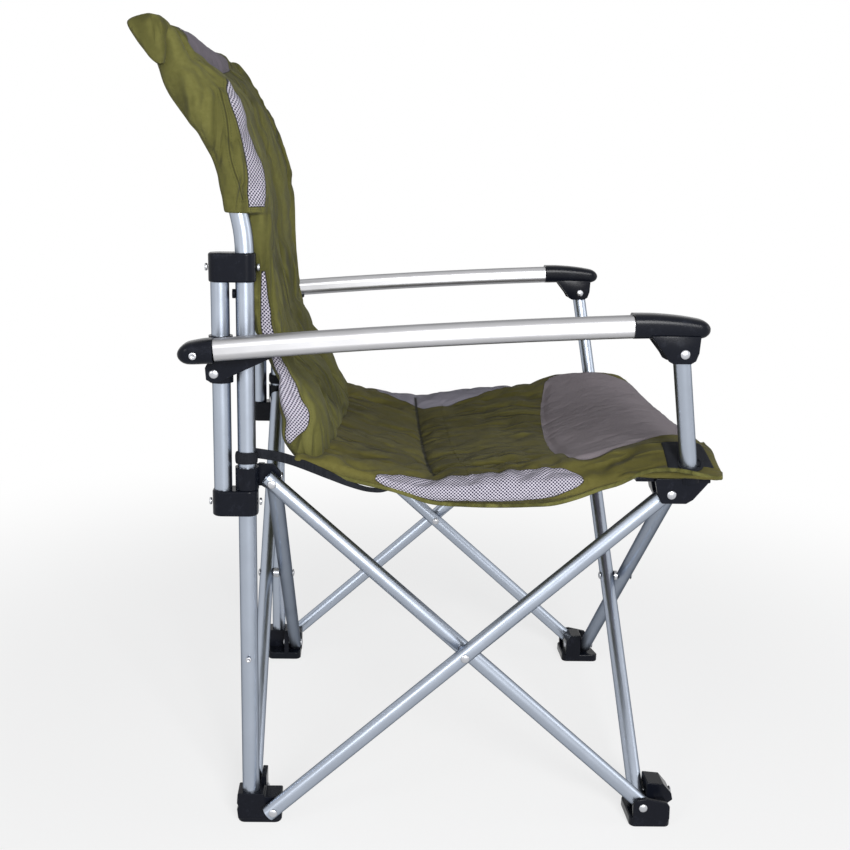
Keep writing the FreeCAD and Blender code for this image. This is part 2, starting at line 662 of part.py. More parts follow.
def arms():
    """Each arm: an arched tube, a moulded cap at both ends, and a bracket on the front pivot."""
    for word, side in SIDES:
        name = word + "_arm_tube"
        keep(cut(name, arm_bar(name + "_skin", side, 0, 0),
                 arm_bar(name + "_core", side, size("wall"), size("arm_round") * 2)))
        name = word + "_arm_front_cap"
        inner, outer = f"{side} * ( arm_reach - cap_half )", f"{side} * ( arm_reach + cap_half )"
        nose = plate(name + "_nose", "YZ",
                     [(before("176.5"), "670.5"), (before("210"), "671"), (before("240"), "668.5"),
                      (before("262"), "663"), (before("273"), "656"), (before("273"), "649"),
                      (before("262"), "643.5"), (before("240"), "642.5"), (before("176.5"), "642")],
                     inner, outer, 3, 2.8)
        bracket = plate(name + "_bracket", "YZ",
                        [(before("199"), "645"), (before("254"), "645"), (before("253"), "620"),
                         (before("248"), "615"), (before("226"), "615"), (before("220"), "618")],
                        inner, outer, 2, 0.8)
        slot = block(name + "_slot", ("arm_reach - fork_half", "arm_reach + fork_half"),
                     (before("190"), before("262")), ("600", "641.5"), side)
        pivot_y = before("arm_pivot_front")
        hole = rod(name + "_hole", point(f"{side} * ( arm_reach - 25 )", pivot_y, "arm_pivot_z"),
                   point(f"{side} * ( arm_reach + 25 )", pivot_y, "arm_pivot_z"), HOLE)
        keep(cut(name, joined(name + "_body", nose, bracket), slot, hole))
        keep(rivet(word + "_arm_front_rivet", point(inner, pivot_y, "arm_pivot_z"),
                   point(outer, pivot_y, "arm_pivot_z")))
        name = word + "_arm_rear_cap"
        keep(plate(name, "YZ",
                   [(behind("300.5"), "638"), (behind("330"), "635.5"), (behind("343"), "630"),
                    (behind("349"), "621"), (behind("346"), "611"), (behind("338"), "606"),
                    (behind("300.5"), "610")],
                   inner, outer, 4, 6))


def arm_collars():
    """Each collar slides on its rail and carries the pivot of the arm's rear bracket."""
    for word, side in SIDES:
        name = word + "_arm_collar"
        x = f"{side} * inner_reach"
        low = point(x, behind("rail_back"), "collar_low")
        top = point(x, behind("rail_back"), "collar_top")
        sleeve = rod(name + "_sleeve", low, top, "tube_dia + 2 * gap + 2 * socket_wall")
        ear = plate(name + "_ear", "YZ",
                    [(behind("293"), "583"), (behind("313"), "583"),
                     (behind("313"), "604"), (behind("293"), "604")],
                    f"{side} * ( inner_reach + 8 )", f"{side} * ear_reach", 8, 0.8)
        bore = rod(name + "_bore", low - Vector(0, 0, 20), top + Vector(0, 0, 20), "tube_dia + 2 * gap")
        keep(cut(name, joined(name + "_body", sleeve, ear), bore))
        bracket_in = "( ear_reach + gap )"
        bracket_out = "bracket_reach"
        name = word + "_arm_rear_bracket"
        wing = plate(name + "_wing", "YZ",
                     [(behind("225"), "617"), (behind("225"), "622"), (behind("306"), "613"),
                      (behind("313"), "600"), (behind("312"), "586"), (behind("304"), "581.5"),
                      (behind("294"), "585")],
                     f"{side} * {bracket_in}", f"{side} * {bracket_out}", 1.5, 0.8)
        hole = rod(name + "_hole", point(f"{side} * 285", behind("collar_back"), "collar_z"),
                   point(f"{side} * 310", behind("collar_back"), "collar_z"), HOLE)
        keep(cut(name, wing, hole))
        keep(rivet(word + "_collar_rivet", point(f"{side} * ear_reach", behind("collar_back"), "collar_z"),
                   point(f"{side} * {bracket_out}", behind("collar_back"), "collar_z"), OUTER_HEAD))


# ---------------------------------------------------------------- seat and back

def hollowed(label, half, edge, middle):
    """A smooth solid through one outline at both ends and another in the middle plane.

    half is the reach of the ends; edge and middle hold as many pairs of expressions, Y and Z.
    """
    sections = []
    for place, reach, outline in (("right", f"-1 * {half}", edge), ("middle", "0", middle),
                                  ("left", half, edge)):
        sketch = doc.addObject("Sketcher::SketchObject", f"{label}_{place}")
        sketch.Placement = Placement(Vector(size(reach), 0, 0), Rotation(Vector(1, 1, 1), 120))
        sketch.setExpression("Placement.Base.x", cell(reach))
        draw(sketch, outline)
        sections.append(sketch)
    doc.recompute()
    loft = doc.addObject("Part::Loft", label)
    loft.Sections = sections
    loft.Solid = True
    loft.Ruled = False
    return loft


def seat_front():
    """The dished front half of the seat, which lies on the front hubs and widens round the posts."""
    rest_z = "front_hub_top + 2 * gap"
    edge = [(before(y), z) for y, z in (
        ("0.3", "430"), ("80", "430"), ("110", "434"), ("140", "444"), ("190", "465"), ("194", rest_z),
        ("307", rest_z), ("307", "490"), ("285", "500"), ("240", "503"), ("190", "497"), ("113", "480"),
        ("60", "473"), ("0.3", "464"))]
    middle = [(before(y), z) for y, z in (
        ("0.3", "416"), ("80", "428"), ("110", "437"), ("140", "449"), ("190", "472"), ("194", rest_z),
        ("307", rest_z), ("307", "490"), ("285", "502"), ("240", "508"), ("190", "497"), ("113", "464"),
        ("60", "451"), ("0.3", "442"))]
    pad = hollowed("seat_front_dish", "corner_reach", edge, middle)
    right_edge = [("-1 * seat_half", before("0.3")), ("-1 * seat_half", before("140")),
                  ("-1 * ( seat_half + 8 )", before("175")), ("-1 * ( corner_reach - 5 )", before("225")),
                  ("-1 * corner_reach", before("252")), ("-1 * corner_reach", before("285")),
                  ("-1 * ( corner_reach - 8 )", before("307"))]
    left_edge = [(x.replace("-1 * ", ""), y) for x, y in reversed(right_edge)]
    plan = plate("seat_front_plan", "XY", right_edge + left_edge, "400", "520", 0, 0)
    trimmed = hidden("Part::Common", "seat_front_trimmed")
    trimmed.Base, trimmed.Tool = pad, plan
    slots = []
    for word, side in SIDES:
        foot, head = post_line(side)
        along = (head - foot).normalize()
        slots.append(rod(f"seat_{word}_slot", foot - along * 20, foot + along * 60, "post_dia + 9"))
    keep(cut("seat_front_half", trimmed, *slots))


def seat_rear():
    """The dished rear half of the seat."""
    edge = [(behind(y), z) for y, z in (
        ("0.3", "430"), ("48", "432"), ("82", "443"), ("144", "457"), ("213", "477"), ("213", "491"),
        ("170", "484"), ("112", "470"), ("67", "461"), ("40", "454"), ("0.3", "464"))]
    middle = [(behind(y), z) for y, z in (
        ("0.3", "416"), ("48", "406"), ("82", "417"), ("144", "438"), ("213", "470"), ("213", "484"),
        ("170", "471"), ("112", "450"), ("67", "438"), ("40", "430"), ("0.3", "442"))]
    keep(hollowed("seat_rear_half", "seat_half", edge, middle))


def back_rest():
    """A closed solid for the padded back, which is hollow between its sides."""
    stations = (
        # height, front and rear edge behind the crossing, share of the hollow
        (500, 180, 214, 0.25), (548, 185, 222, 0.50), (580, 208, 234, 0.70), (640, 227, 252, 0.85),
        (744, 239, 267, 1.00), (800, 243, 276, 1.00), (865, 259, 306, 1.00), (910, 276, 333, 0.90),
        (945, 303, 356, 0.70), (984, 342, 385, 0.50))
    crown = [(behind("368"), "991"), (behind("386"), "993"), (behind("392"), "980")]
    outlines = []
    for near_depth, far_depth in (("0", "0"), ("back_hollow", "rear_hollow")):
        front = [(behind(f"{near} + {share} * {near_depth}"), str(z)) for z, near, far, share in stations]
        rear = [(behind(f"{far} + {share} * {far_depth}"), str(z)) for z, near, far, share in stations[:-1]]
        outlines.append(front + crown + rear[::-1])
    keep(hollowed("back_pad", "back_half", *outlines))


side_struts()
cross_struts()
rear_feet()
front_feet()
back_tubes()
arm_rails()
clamps()
frame_rivets()
stop_buttons()
rear_hubs()
front_hubs()
arm_posts()
arms()
arm_collars()
seat_front()
seat_rear()
back_rest()
doc.recompute()

for item in doc.Objects:
    if any(word in ("Invalid", "Error") for word in item.State):
        raise RuntimeError(f"{item.Label} did not build: {item.State}")
os.makedirs("parts", exist_ok=True)
for item in SUB_PARTS:
    shape = item.Shape
    if shape.isNull() or not shape.isValid() or not shape.Solids:
        raise RuntimeError(f"{item.Label} is not a valid solid")
    shape.exportStep(f"parts/{item.Label}.step")
    print(f"{item.Label}: {len(shape.Solids)} solids, {shape.Volume / 1000:.1f} cm3")
print(f"{len(SUB_PARTS)} sub-parts")
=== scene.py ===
"""Dresses the folding camp chair: metals, mouldings and the sewn, padded seat and back.

Lengths in the tables are millimetres, written as distance behind the crossing of the side struts
and height above the floor; everything that is built is in metres in the row frame.
"""
import json
import logging
import math
from dataclasses import dataclass, field
from enum import Enum
from typing import Callable, Sequence

import bpy
import numpy as np
from mathutils import Matrix, Vector
from mathutils.bvhtree import BVHTree


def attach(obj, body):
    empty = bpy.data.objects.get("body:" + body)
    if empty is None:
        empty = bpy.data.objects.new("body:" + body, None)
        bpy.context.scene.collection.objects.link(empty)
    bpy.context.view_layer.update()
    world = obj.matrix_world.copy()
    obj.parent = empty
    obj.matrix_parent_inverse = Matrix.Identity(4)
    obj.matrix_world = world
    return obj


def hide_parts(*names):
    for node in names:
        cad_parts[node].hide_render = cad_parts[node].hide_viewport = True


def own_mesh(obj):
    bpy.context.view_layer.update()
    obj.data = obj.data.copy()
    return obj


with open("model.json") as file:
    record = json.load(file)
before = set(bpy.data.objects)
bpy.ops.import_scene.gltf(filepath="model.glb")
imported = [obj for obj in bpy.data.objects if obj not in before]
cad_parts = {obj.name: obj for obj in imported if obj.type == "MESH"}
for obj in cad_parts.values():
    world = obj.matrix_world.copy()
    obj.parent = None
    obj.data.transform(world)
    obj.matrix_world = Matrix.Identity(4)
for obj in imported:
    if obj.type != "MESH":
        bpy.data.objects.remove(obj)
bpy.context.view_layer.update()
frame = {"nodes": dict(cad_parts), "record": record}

logging.basicConfig(level=logging.INFO, format="%(message)s")
LOG = logging.getLogger("camp_chair")

MM = 0.001
# the row frame's Y at the crossing of the side struts, in millimetres
CROSSING_Y = -42.5

Array = np.ndarray
Pair = tuple[float, float]
Table = Sequence[Pair]
Triple = tuple[float, float, float]
Colour = Triple
Socket = bpy.types.NodeSocket
Piece = bpy.types.Object
Finish = bpy.types.Material


class Side(Enum):
    """The sitter's two sides; the value is the sign of X."""

    RIGHT = -1
    LEFT = 1

    @property
    def word(self) -> str:
        """The side as it stands in the names of nodes and bodies."""
        return self.name.lower()


class Cloth(Enum):
    """The cloths that a cover's patches are cut from."""

    GREY = "grey"
    NET = "net"


class Axis(Enum):
    """What the lines of a cover are read along, in rest places."""

    X = "X"
    Y = "Y"
    Z = "Z"
    SKEWED = "Y, skewed by X"


class Facing(Enum):
    """Where a screw's head looks: the axis and the degrees that turn it there from +Z."""

    FRONT = ("X", 90)
    REAR = ("X", -90)
    SIDE = ("Y", 90)

    def turn(self, side: Side) -> Matrix:
        """The turn on one side of the chair.

        Args:
            side: the sitter's side, which decides what is outwards.
        Returns:
            The rotation.
        """
        axis, degrees = self.value
        if self is Facing.SIDE:
            degrees *= side.value
        return Matrix.Rotation(math.radians(degrees), 4, axis)


def line_through(table: Table) -> Callable[[Array], Array]:
    """A smooth function through pairs of input and output.

    Args:
        table: pairs in any order; inputs differ.
    Returns:
        A function of an array, held constant past both ends.
    """
    inputs, outputs = np.array(sorted(table), float).T
    slopes = np.gradient(outputs, inputs)

    def at(value: Array) -> Array:
        """The outputs at given inputs.

        Args:
            value: the inputs.
        Returns:
            An output for each.
        """
        value = np.clip(np.asarray(value, float), inputs[0], inputs[-1])
        index = np.clip(np.searchsorted(inputs, value, side="right") - 1, 0, len(inputs) - 2)
        span = inputs[index + 1] - inputs[index]
        t = (value - inputs[index]) / span
        return ((2 * t ** 3 - 3 * t ** 2 + 1) * outputs[index]
                + (t ** 3 - 2 * t ** 2 + t) * span * slopes[index]
                + (3 * t ** 2 - 2 * t ** 3) * outputs[index + 1]
                + (t ** 3 - t ** 2) * span * slopes[index + 1])

    return at


def value_at(table: Table, place: float) -> float:
    """One number read from a table."""
    return float(line_through(table)(place))


def level_line(inputs: Sequence[float], output: float) -> Table:
    """A table that gives one output for all its inputs."""
    return tuple((place, output) for place in inputs)


def row_y(behind: Array) -> Array:
    """A distance behind the crossing as a row-frame Y, both in millimetres."""
    return behind + CROSSING_Y


def in_row(table: Table) -> Table:
    """A table of distances behind the crossing, with those made row-frame Y."""
    return tuple((place, row_y(behind)) for place, behind in table)


def row_places(x: Array, behind: Array, height: Array) -> Array:
    """Row-frame places in millimetres; what is given as one number holds for all of them."""
    return np.stack(np.broadcast_arrays(x, row_y(behind), height), axis=-1)


def rounded_end(distance: float, run: float, least: float) -> float:
    """How thick a padded piece is near its end: least at the end, and 1 from run onwards."""
    return math.sqrt(1 - (1 - min(distance / run, 1)) ** 2) * (1 - least) + least


def ring_through(corners: Array, count: int) -> Array:
    """A smooth closed ring through corner points.

    Args:
        corners: rows of points, (n, dimensions).
        count: how many points the ring gets, evenly spaced between the corners.
    Returns:
        The ring's points, (count, dimensions).
    """
    total = len(corners)
    place = np.arange(count) * total / count
    index = place.astype(int)
    t = (place - index)[:, None]
    before, start, end, after = (corners[(index + step) % total] for step in (-1, 0, 1, 2))
    return 0.5 * (2 * start + (end - before) * t + (2 * before - 5 * start + 4 * end - after) * t ** 2
                  + (3 * start - before - 3 * end + after) * t ** 3)


def soft_step(value: Array, low: float, high: float) -> Array:
    """0 below low, 1 above high, smooth between."""
    t = np.clip((value - low) / (high - low), 0, 1)
    return t * t * (3 - 2 * t)


def bell(offset: Array, width: float) -> Array:
    """1 at an offset of 0, nearly 0 past twice the width, smooth between."""
    return np.exp(-(offset / width) ** 2)


def around(count: int, turned: float = 0.0) -> Array:
    """Angles evenly spaced round a circle."""
    return np.linspace(0, 2 * math.pi, count, endpoint=False) + turned


def ripple(points: Array, waves: int, length: Array, seed: int) -> Array:
    """A smooth, repeatable unevenness between about -1 and 1.

    Args:
        points: places, (n, 3), in metres.
        waves: how many waves are summed.
        length: typical wavelength along X, Y and Z, in metres.
        seed: picks the waves.
    Returns:
        One number for each point.
    """
    draw = np.random.default_rng(seed)
    total = np.zeros(len(points))
    for _ in range(waves):
        direction = draw.normal(size=3) / length * 2 * math.pi * draw.uniform(0.6, 1.4)
        total += np.sin(points @ direction + draw.uniform(0, 2 * math.pi))
    return total / math.sqrt(waves)


def folds(points: Array, direction: Triple, width: float, seed: int) -> Array:
    """Cloth folds: rounded ridges with narrow valleys, 0 in the valleys and 1 on the ridges.

    Args:
        points: places, (n, 3), in metres.
        direction: the way across the folds.
        width: distance from valley to valley, in metres.
        seed: picks how the folds wander.
    Returns:
        One number for each point.
    """
    wander = ripple(points, 5, np.array([3, 3, 3]) * width, seed)
    phase = points @ np.array(direction) / width + 0.55 * wander
    return np.abs(np.sin(math.pi * phase)) ** 0.6


def crumple(points: Array, direction: Triple, width: float, seed: int) -> Array:
    """Folds that come and go: strong in some places, nearly flat in others, with finer ones between.

    Args:
        points: places, (n, 3), in metres.
        direction: the way across the folds.
        width: distance from valley to valley of the broad ones, in metres.
        seed: picks where they are.
    Returns:
        One number for each point, about -0.6 in the valleys and 0.4 on the ridges.
    """
    strong = soft_step(ripple(points, 5, np.array([3, 3, 3]) * width, seed + 100), -0.9, 0.9)
    turned = (direction[0] + 0.5 * direction[2], direction[1], direction[2] - 0.5 * direction[0])
    broad = folds(points, direction, width, seed) - 0.6
    fine = folds(points, turned, width * 0.43, seed + 200) - 0.6
    return broad * (0.35 + 0.65 * strong) + 0.38 * fine * (1 - 0.6 * strong)


def weighted(shares: Sequence[float], patterns: Sequence[Array]) -> Array:
    """The sum of patterns, each multiplied by its share."""
    return sum(share * pattern for share, pattern in zip(shares, patterns))


# ---- finishes

class Desk:
    """Makes shader nodes in one material with short calls."""

    def __init__(self, name: str) -> None:
        """Starts a material that holds one Principled shader.

        Args:
            name: the material's name.
        """
        self.material = bpy.data.materials.new(name)
        self.material.use_nodes = True
        self.tree = self.material.node_tree
        self.shader = self.tree.nodes["Principled BSDF"]

    def node(self, kind: str, **settings: object) -> bpy.types.Node:
        """A new node with its properties set.

        Args:
            kind: the node's type, without its first words.
            settings: properties and their values.
        Returns:
            The node.
        """
        made = self.tree.nodes.new("ShaderNode" + kind)
        for name, value in settings.items():
            setattr(made, name, value)
        return made

    def feed(self, socket: Socket, value: object) -> None:
        """Links a socket, or sets a number or colour.

        Args:
            socket: an input.
            value: another node's output, a number or a colour.
        """
        if isinstance(value, bpy.types.NodeSocket):
            self.tree.links.new(value, socket)
        else:
            socket.default_value = value

    def math(self, operation: str, *values: object) -> Socket:
        """The result of a Math node.

        Args:
            operation: what it does.
            values: its inputs, in order.
        Returns:
            Its output.
        """
        made = self.node("Math", operation=operation)
        for socket, value in zip(made.inputs, values):
            self.feed(socket, value)
        return made.outputs[0]

    def ramp(self, value: Socket, low: float, high: float, start: float = 0.0, end: float = 1.0) -> Socket:
        """Maps low..high to start..end, smoothly and clamped.

        Args:
            value: what is mapped.
            low: the input that gives start.
            high: the input that gives end.
            start: the first output.
            end: the last output.
        Returns:
            The mapped value.
        """
        made = self.node("MapRange", interpolation_type="SMOOTHSTEP")
        for socket, number in zip(made.inputs, (value, low, high, start, end)):
            self.feed(socket, number)
        return made.outputs[0]

    def curve(self, value: Socket, table: Table, reach: Pair) -> Socket:
        """A number read from a table of pairs.

        Args:
            value: where the table is read.
            table: pairs of input and output.
            reach: the lowest and the highest output.
        Returns:
            The number read.
        """
        pairs = sorted(table)
        low, high = pairs[0][0], pairs[-1][0]
        scaled = self.node("MapRange")
        for socket, number in zip(scaled.inputs, (value, low, high, 0.0, 1.0)):
            self.feed(socket, number)
        made = self.node("FloatCurve")
        self.feed(made.inputs["Value"], scaled.outputs[0])
        points = made.mapping.curves[0].points
        spots = [((x - low) / (high - low), (y - reach[0]) / (reach[1] - reach[0])) for x, y in pairs]
        while len(points) < len(spots):
            points.new(0.5, 0.5)
        for point, spot in zip(points, spots):
            point.location = spot
        made.mapping.update()
        back = self.node("MapRange", clamp=False)
        for socket, number in zip(back.inputs, (made.outputs[0], 0.0, 1.0, *reach)):
            self.feed(socket, number)
        return back.outputs[0]

    def mix(self, factor: object, first: object, second: object) -> Socket:
        """A blend of two colours.

        Args:
            factor: 0 for the first, 1 for the second.
            first: a colour or an output.
            second: a colour or an output.
        Returns:
            The blend.
        """
        made = self.node("Mix", data_type="RGBA")
        self.feed(made.inputs["Factor"], factor)
        for name, value in (("A", first), ("B", second)):
            socket = next(s for s in made.inputs if s.name == name and s.type == "RGBA")
            self.feed(socket, value)
        return next(s for s in made.outputs if s.type == "RGBA")

    def place(self) -> Socket:
        """Object coordinates, in metres."""
        return self.node("TexCoord").outputs["Object"]

    def noise(self, vector: Socket, scale: float, detail: float = 3.0, roughness: float = 0.5) -> Socket:
        """A noise between 0 and 1.

        Args:
            vector: the places it is read at.
            scale: how fine it is.
            detail: how many finer layers it has.
            roughness: how strong those are.
        Returns:
            The noise.
        """
        made = self.node("TexNoise")
        for name, value in (("Vector", vector), ("Scale", scale), ("Detail", detail),
                            ("Roughness", roughness)):
            self.feed(made.inputs[name], value)
        return made.outputs["Fac"]

    def stretched(self, vector: Socket, scale: Triple) -> Socket:
        """A vector scaled along each axis.

        Args:
            vector: the places.
            scale: a factor for each axis.
        Returns:
            The places, scaled.
        """
        made = self.node("Mapping")
        self.feed(made.inputs["Vector"], vector)
        made.inputs["Scale"].default_value = scale
        return made.outputs[0]

    def bump(self, height: Socket, distance: float, strength: float = 1.0) -> None:
        """Bumps the shader's surface.

        Args:
            height: the relief.
            distance: how high 1 stands, in metres.
            strength: the share that shows.
        """
        made = self.node("Bump")
        self.feed(made.inputs["Height"], height)
        made.inputs["Distance"].default_value = distance
        made.inputs["Strength"].default_value = strength
        self.feed(self.shader.inputs["Normal"], made.outputs[0])

    def set(self, **values: object) -> None:
        """Sets or links the shader's own sockets; underscores stand for spaces."""
        for name, value in values.items():
            self.feed(self.shader.inputs[name.replace("_", " ")], value)


def rgb(red: float, green: float, blue: float) -> tuple[float, float, float, float]:
    """A colour for a socket."""
    return (red, green, blue, 1.0)


def toned(colour: Colour, share: float) -> tuple[float, float, float, float]:
    """A colour for a socket, made darker or paler."""
    return rgb(*(c * share for c in colour))


@dataclass(frozen=True)
class Metal:
    """Drawn or rolled metal with fine marks along its length and small changes of gloss."""

    name: str
    colour: Colour
    roughness: float
    spread: float = 0.06
    grain: Triple = (900, 900, 900)
    edge_tint: float = 0.10

    def make(self) -> Finish:
        """Makes the finish.

        Returns:
            The material.
        """
        desk = Desk(self.name)
        place = desk.place()
        grain = desk.noise(desk.stretched(place, self.grain), 1.0, 2.0)
        cloudy = desk.noise(place, 26.0, 4.0, 0.6)
        tint = desk.mix(cloudy, toned(self.colour, 0.93), toned(self.colour, 1.05))
        gloss = desk.math("MULTIPLY_ADD", desk.math("SUBTRACT", cloudy, 0.5), self.spread * 2, self.roughness)
        rough = desk.math("MULTIPLY_ADD", grain, self.spread, gloss)
        desk.set(Base_Color=tint, Metallic=1.0, Roughness=rough, Specular_Tint=rgb(*[self.edge_tint] * 3))
        desk.bump(grain, 0.00002, 0.5)
        return desk.material


@dataclass(frozen=True)
class Moulding:
    """Moulded black plastic: spark-eroded grain, a soft sheen and dusty, rubbed patches."""

    name: str
    colour: Colour
    roughness: float = 0.24

    def make(self) -> Finish:
        """Makes the finish.

        Returns:
            The material.
        """
        desk = Desk(self.name)
        place = desk.place()
        grain = desk.noise(place, 1500.0, 2.0, 0.7)
        rubbed = desk.ramp(desk.noise(place, 60.0, 5.0, 0.65), 0.5, 0.78)
        pale = tuple(c * 1.8 + 0.002 for c in self.colour)
        desk.set(Base_Color=desk.mix(rubbed, rgb(*self.colour), rgb(*pale)),
                 Roughness=desk.math("MULTIPLY_ADD", rubbed, 0.14, self.roughness), Specular_IOR_Level=0.12)
        desk.bump(grain, 0.00006, 0.6)
        return desk.material


@dataclass(frozen=True)
class Webbing:
    """Black woven strap or patch: ribs across and a dull sheen."""

    name: str
    colour: Colour
    pitch: float = 0.0016

    def make(self) -> Finish:
        """Makes the finish.

        Returns:
            The material.
        """
        desk = Desk(self.name)
        place = desk.place()
        axes = desk.node("SeparateXYZ")
        desk.feed(axes.inputs[0], place)
        along = desk.math("ADD", axes.outputs["Y"], axes.outputs["Z"])
        ribs = desk.math("SINE", desk.math("MULTIPLY", along, 2 * math.pi / self.pitch))
        threads = desk.math("SINE", desk.math("MULTIPLY", axes.outputs["X"], 2 * math.pi / self.pitch))
        weave = desk.math("MULTIPLY", ribs, threads)
        mottle = desk.noise(place, 220.0, 3.0)
        desk.set(Base_Color=desk.mix(mottle, rgb(*self.colour), toned(self.colour, 1.7)),
                 Roughness=0.78, Specular_IOR_Level=0.12)
        desk.bump(weave, 0.00025)
        return desk.material


@dataclass(frozen=True)
class Limit:
    """A band of rest places: along one axis between two lines, each read along another axis."""

    across: Axis
    along: Axis
    low: Table
    high: Table
    mirrored: bool = False


@dataclass(frozen=True)
class Patch:
    """Part of a cover that is cut from another cloth, where all of its limits hold."""

    cloth: Cloth
    limits: tuple[Limit, ...]


@dataclass(frozen=True)
class Seam:
    """A sewn line where the rest place along one axis meets a line read along another axis."""

    across: Axis
    along: Axis
    line: Table
    mirrored: bool = False
    width: float = 1.1
    dark: float = 0.6


@dataclass(frozen=True)
class Cover:
    """Woven polyester with patches of other cloths and rows of stitches beside its seams.

    Colours follow the cloths: a mottled plain weave for olive and grey, and a pale spacer net
    with dark holes. On the olive, light and shade are painted in: lighter on the ridges of the
    folds, darker in their valleys and darker still in the creases. The weave reads the UV map in
    metres; patches and seams read the attribute "rest", so that they stay with the cloth when it
    crumples.
    """

    name: str
    patches: tuple[Patch, ...] = ()
    seams: tuple[Seam, ...] = ()
    olive: Colour = (0.165, 0.160, 0.050)
    # olive_deep is the darker tone of the mottle; darkened further, it is also the painted shade in fold
    # valleys and creases
    olive_deep: Colour = (0.100, 0.096, 0.026)
    grey: Colour = (0.295, 0.256, 0.278)
    net: Colour = (0.50, 0.475, 0.545)
    net_hole: Colour = (0.022, 0.020, 0.045)
    weave_pitch: float = 0.0009
    net_pitch: float = 0.0044
    stitch_gap: float = 3.0
    stitch_length: float = 0.0034
    groove: Colour = (0.012, 0.012, 0.006)
    thread: Colour = (0.05, 0.052, 0.02)
    skew: float = 0.0
    crease_run: Triple = (24.0, 20.0, 5.0)
    crease_depth: float = 4.2

    def make(self) -> Finish:
        """Makes the finish.

        Returns:
            The material.
        """
        desk = Desk(self.name)
        rest = desk.node("Attribute", attribute_name="rest").outputs["Vector"]
        parts = desk.node("SeparateXYZ")
        desk.feed(parts.inputs[0], desk.stretched(rest, (1000, 1000, 1000)))
        axes = {axis: parts.outputs[axis.value] for axis in (Axis.X, Axis.Y, Axis.Z)}
        axes[Axis.SKEWED] = desk.math("MULTIPLY_ADD", axes[Axis.X], self.skew, axes[Axis.Y])
        chart = desk.node("SeparateXYZ")
        desk.feed(chart.inputs[0], desk.node("UVMap", uv_map="cloth").outputs[0])
        across, along = chart.outputs["X"], chart.outputs["Y"]
        mottle = desk.noise(rest, 160.0, 4.0, 0.7)
        broad = desk.noise(rest, 9.0, 3.0)
        weave = self.product(desk, across, along, self.weave_pitch)
        shade = desk.math("MULTIPLY_ADD", desk.math("SUBTRACT", mottle, 0.5), 1.2, broad)
        olive = desk.mix(shade, rgb(*self.olive_deep), rgb(*self.olive))
        grey = desk.mix(mottle, toned(self.grey, 0.86), toned(self.grey, 1.12))
        holes = desk.ramp(self.product(desk, across, along, self.net_pitch), -0.02, 0.26)
        net = desk.mix(holes, rgb(*self.net), rgb(*self.net_hole))
        swell, crease = self.creases(desk, rest)
        # painted light and shade: the olive stays full on the ridges of the folds, is painted darker in their
        # valleys and darker still in the creases
        painted_fold_light = desk.math("MULTIPLY_ADD", desk.ramp(swell, 0.62, 0.86), 0.55, 0.45)
        olive = desk.mix(painted_fold_light, toned(self.olive_deep, 0.80), olive)
        olive = desk.mix(desk.math("MULTIPLY", crease, 0.60), olive,
                         toned(self.olive_deep, 0.34))
        colour, height = olive, desk.math("MULTIPLY", weave, 0.08)
        taut = None
        for patch in self.patches:
            mask, edge = self.mask(desk, axes, patch)
            taut = mask if taut is None else desk.math("MAXIMUM", taut, mask)
            cloth = grey if patch.cloth is Cloth.GREY else net
            colour = desk.mix(mask, colour, cloth)
            if patch.cloth is Cloth.NET:
                sunk = desk.math("MULTIPLY", holes, -0.6)
                height = self.blended(desk, mask, height, sunk)
            colour, height = self.stitched(desk, edge, along, colour, height)
        for seam in self.seams:
            edge = self.distance(desk, axes, seam)
            colour, height = self.stitched(desk, edge, along, colour, height, seam.width, seam.dark)
        folded = desk.math("SUBTRACT", desk.math("MULTIPLY", swell, 2.2), crease)
        folded = desk.math("MULTIPLY", folded, self.crease_depth)
        if taut is not None:
            folded = desk.math("MULTIPLY", folded, desk.math("MULTIPLY_ADD", taut, -0.8, 1.0))
        height = desk.math("ADD", height, folded)
        desk.set(Base_Color=colour, Roughness=0.9, Sheen_Weight=0.04, Specular_IOR_Level=0.12)
        desk.bump(height, 0.0012, 0.8)
        return desk.material

    def creases(self, desk: Desk, rest: Socket) -> tuple[Socket, Socket]:
        """Broad folds and the sharp creases between them, which come and go.

        Args:
            desk: the material's nodes.
            rest: the rest places, in metres.
        Returns:
            The folds and the creases.
        """
        # these folds and creases shape the bump; make() also paints light on the folds and shade in the
        # creases
        drawn = desk.noise(desk.stretched(rest, self.crease_run), 1.0, 1.0, 0.4)
        turned = desk.noise(desk.stretched(rest, tuple(run * 1.9 for run in self.crease_run)), 1.0, 1.0, 0.4)
        strong = desk.ramp(desk.noise(rest, 7.0, 1.0), 0.36, 0.62)
        lines = []
        for field, share in ((drawn, 1.0), (turned, 0.5)):
            away = desk.math("ABSOLUTE", desk.math("SUBTRACT", field, 0.5))
            lines.append(desk.ramp(away, 0.0, 0.085, share, 0.0))
        crease = desk.math("MULTIPLY", desk.math("MAXIMUM", *lines), strong)
        return desk.math("ADD", drawn, desk.math("MULTIPLY", turned, 0.5)), crease

    @staticmethod
    def product(desk: Desk, across: Socket, along: Socket, pitch: float) -> Socket:
        """Crossed waves of one pitch: a plain weave, or a diagonal grid of holes.

        Args:
            desk: the material's nodes.
            across: the cloth's first direction, in metres.
            along: its second direction, in metres.
            pitch: the length of a wave, in metres.
        Returns:
            The pattern, -1 to 1.
        """
        waves = [desk.math("COSINE", desk.math("MULTIPLY", value, 2 * math.pi / pitch))
                 for value in (across, along)]
        return desk.math("MULTIPLY", *waves)

    @staticmethod
    def blended(desk: Desk, mask: Socket, first: Socket, second: Socket) -> Socket:
        """A number between two, by a mask.

        Args:
            desk: the material's nodes.
            mask: 0 for the first, 1 for the second.
            first: a number.
            second: a number.
        Returns:
            The blend.
        """
        made = desk.node("Mix", data_type="FLOAT")
        for index, value in ((0, mask), (2, first), (3, second)):
            desk.feed(made.inputs[index], value)
        return made.outputs[0]

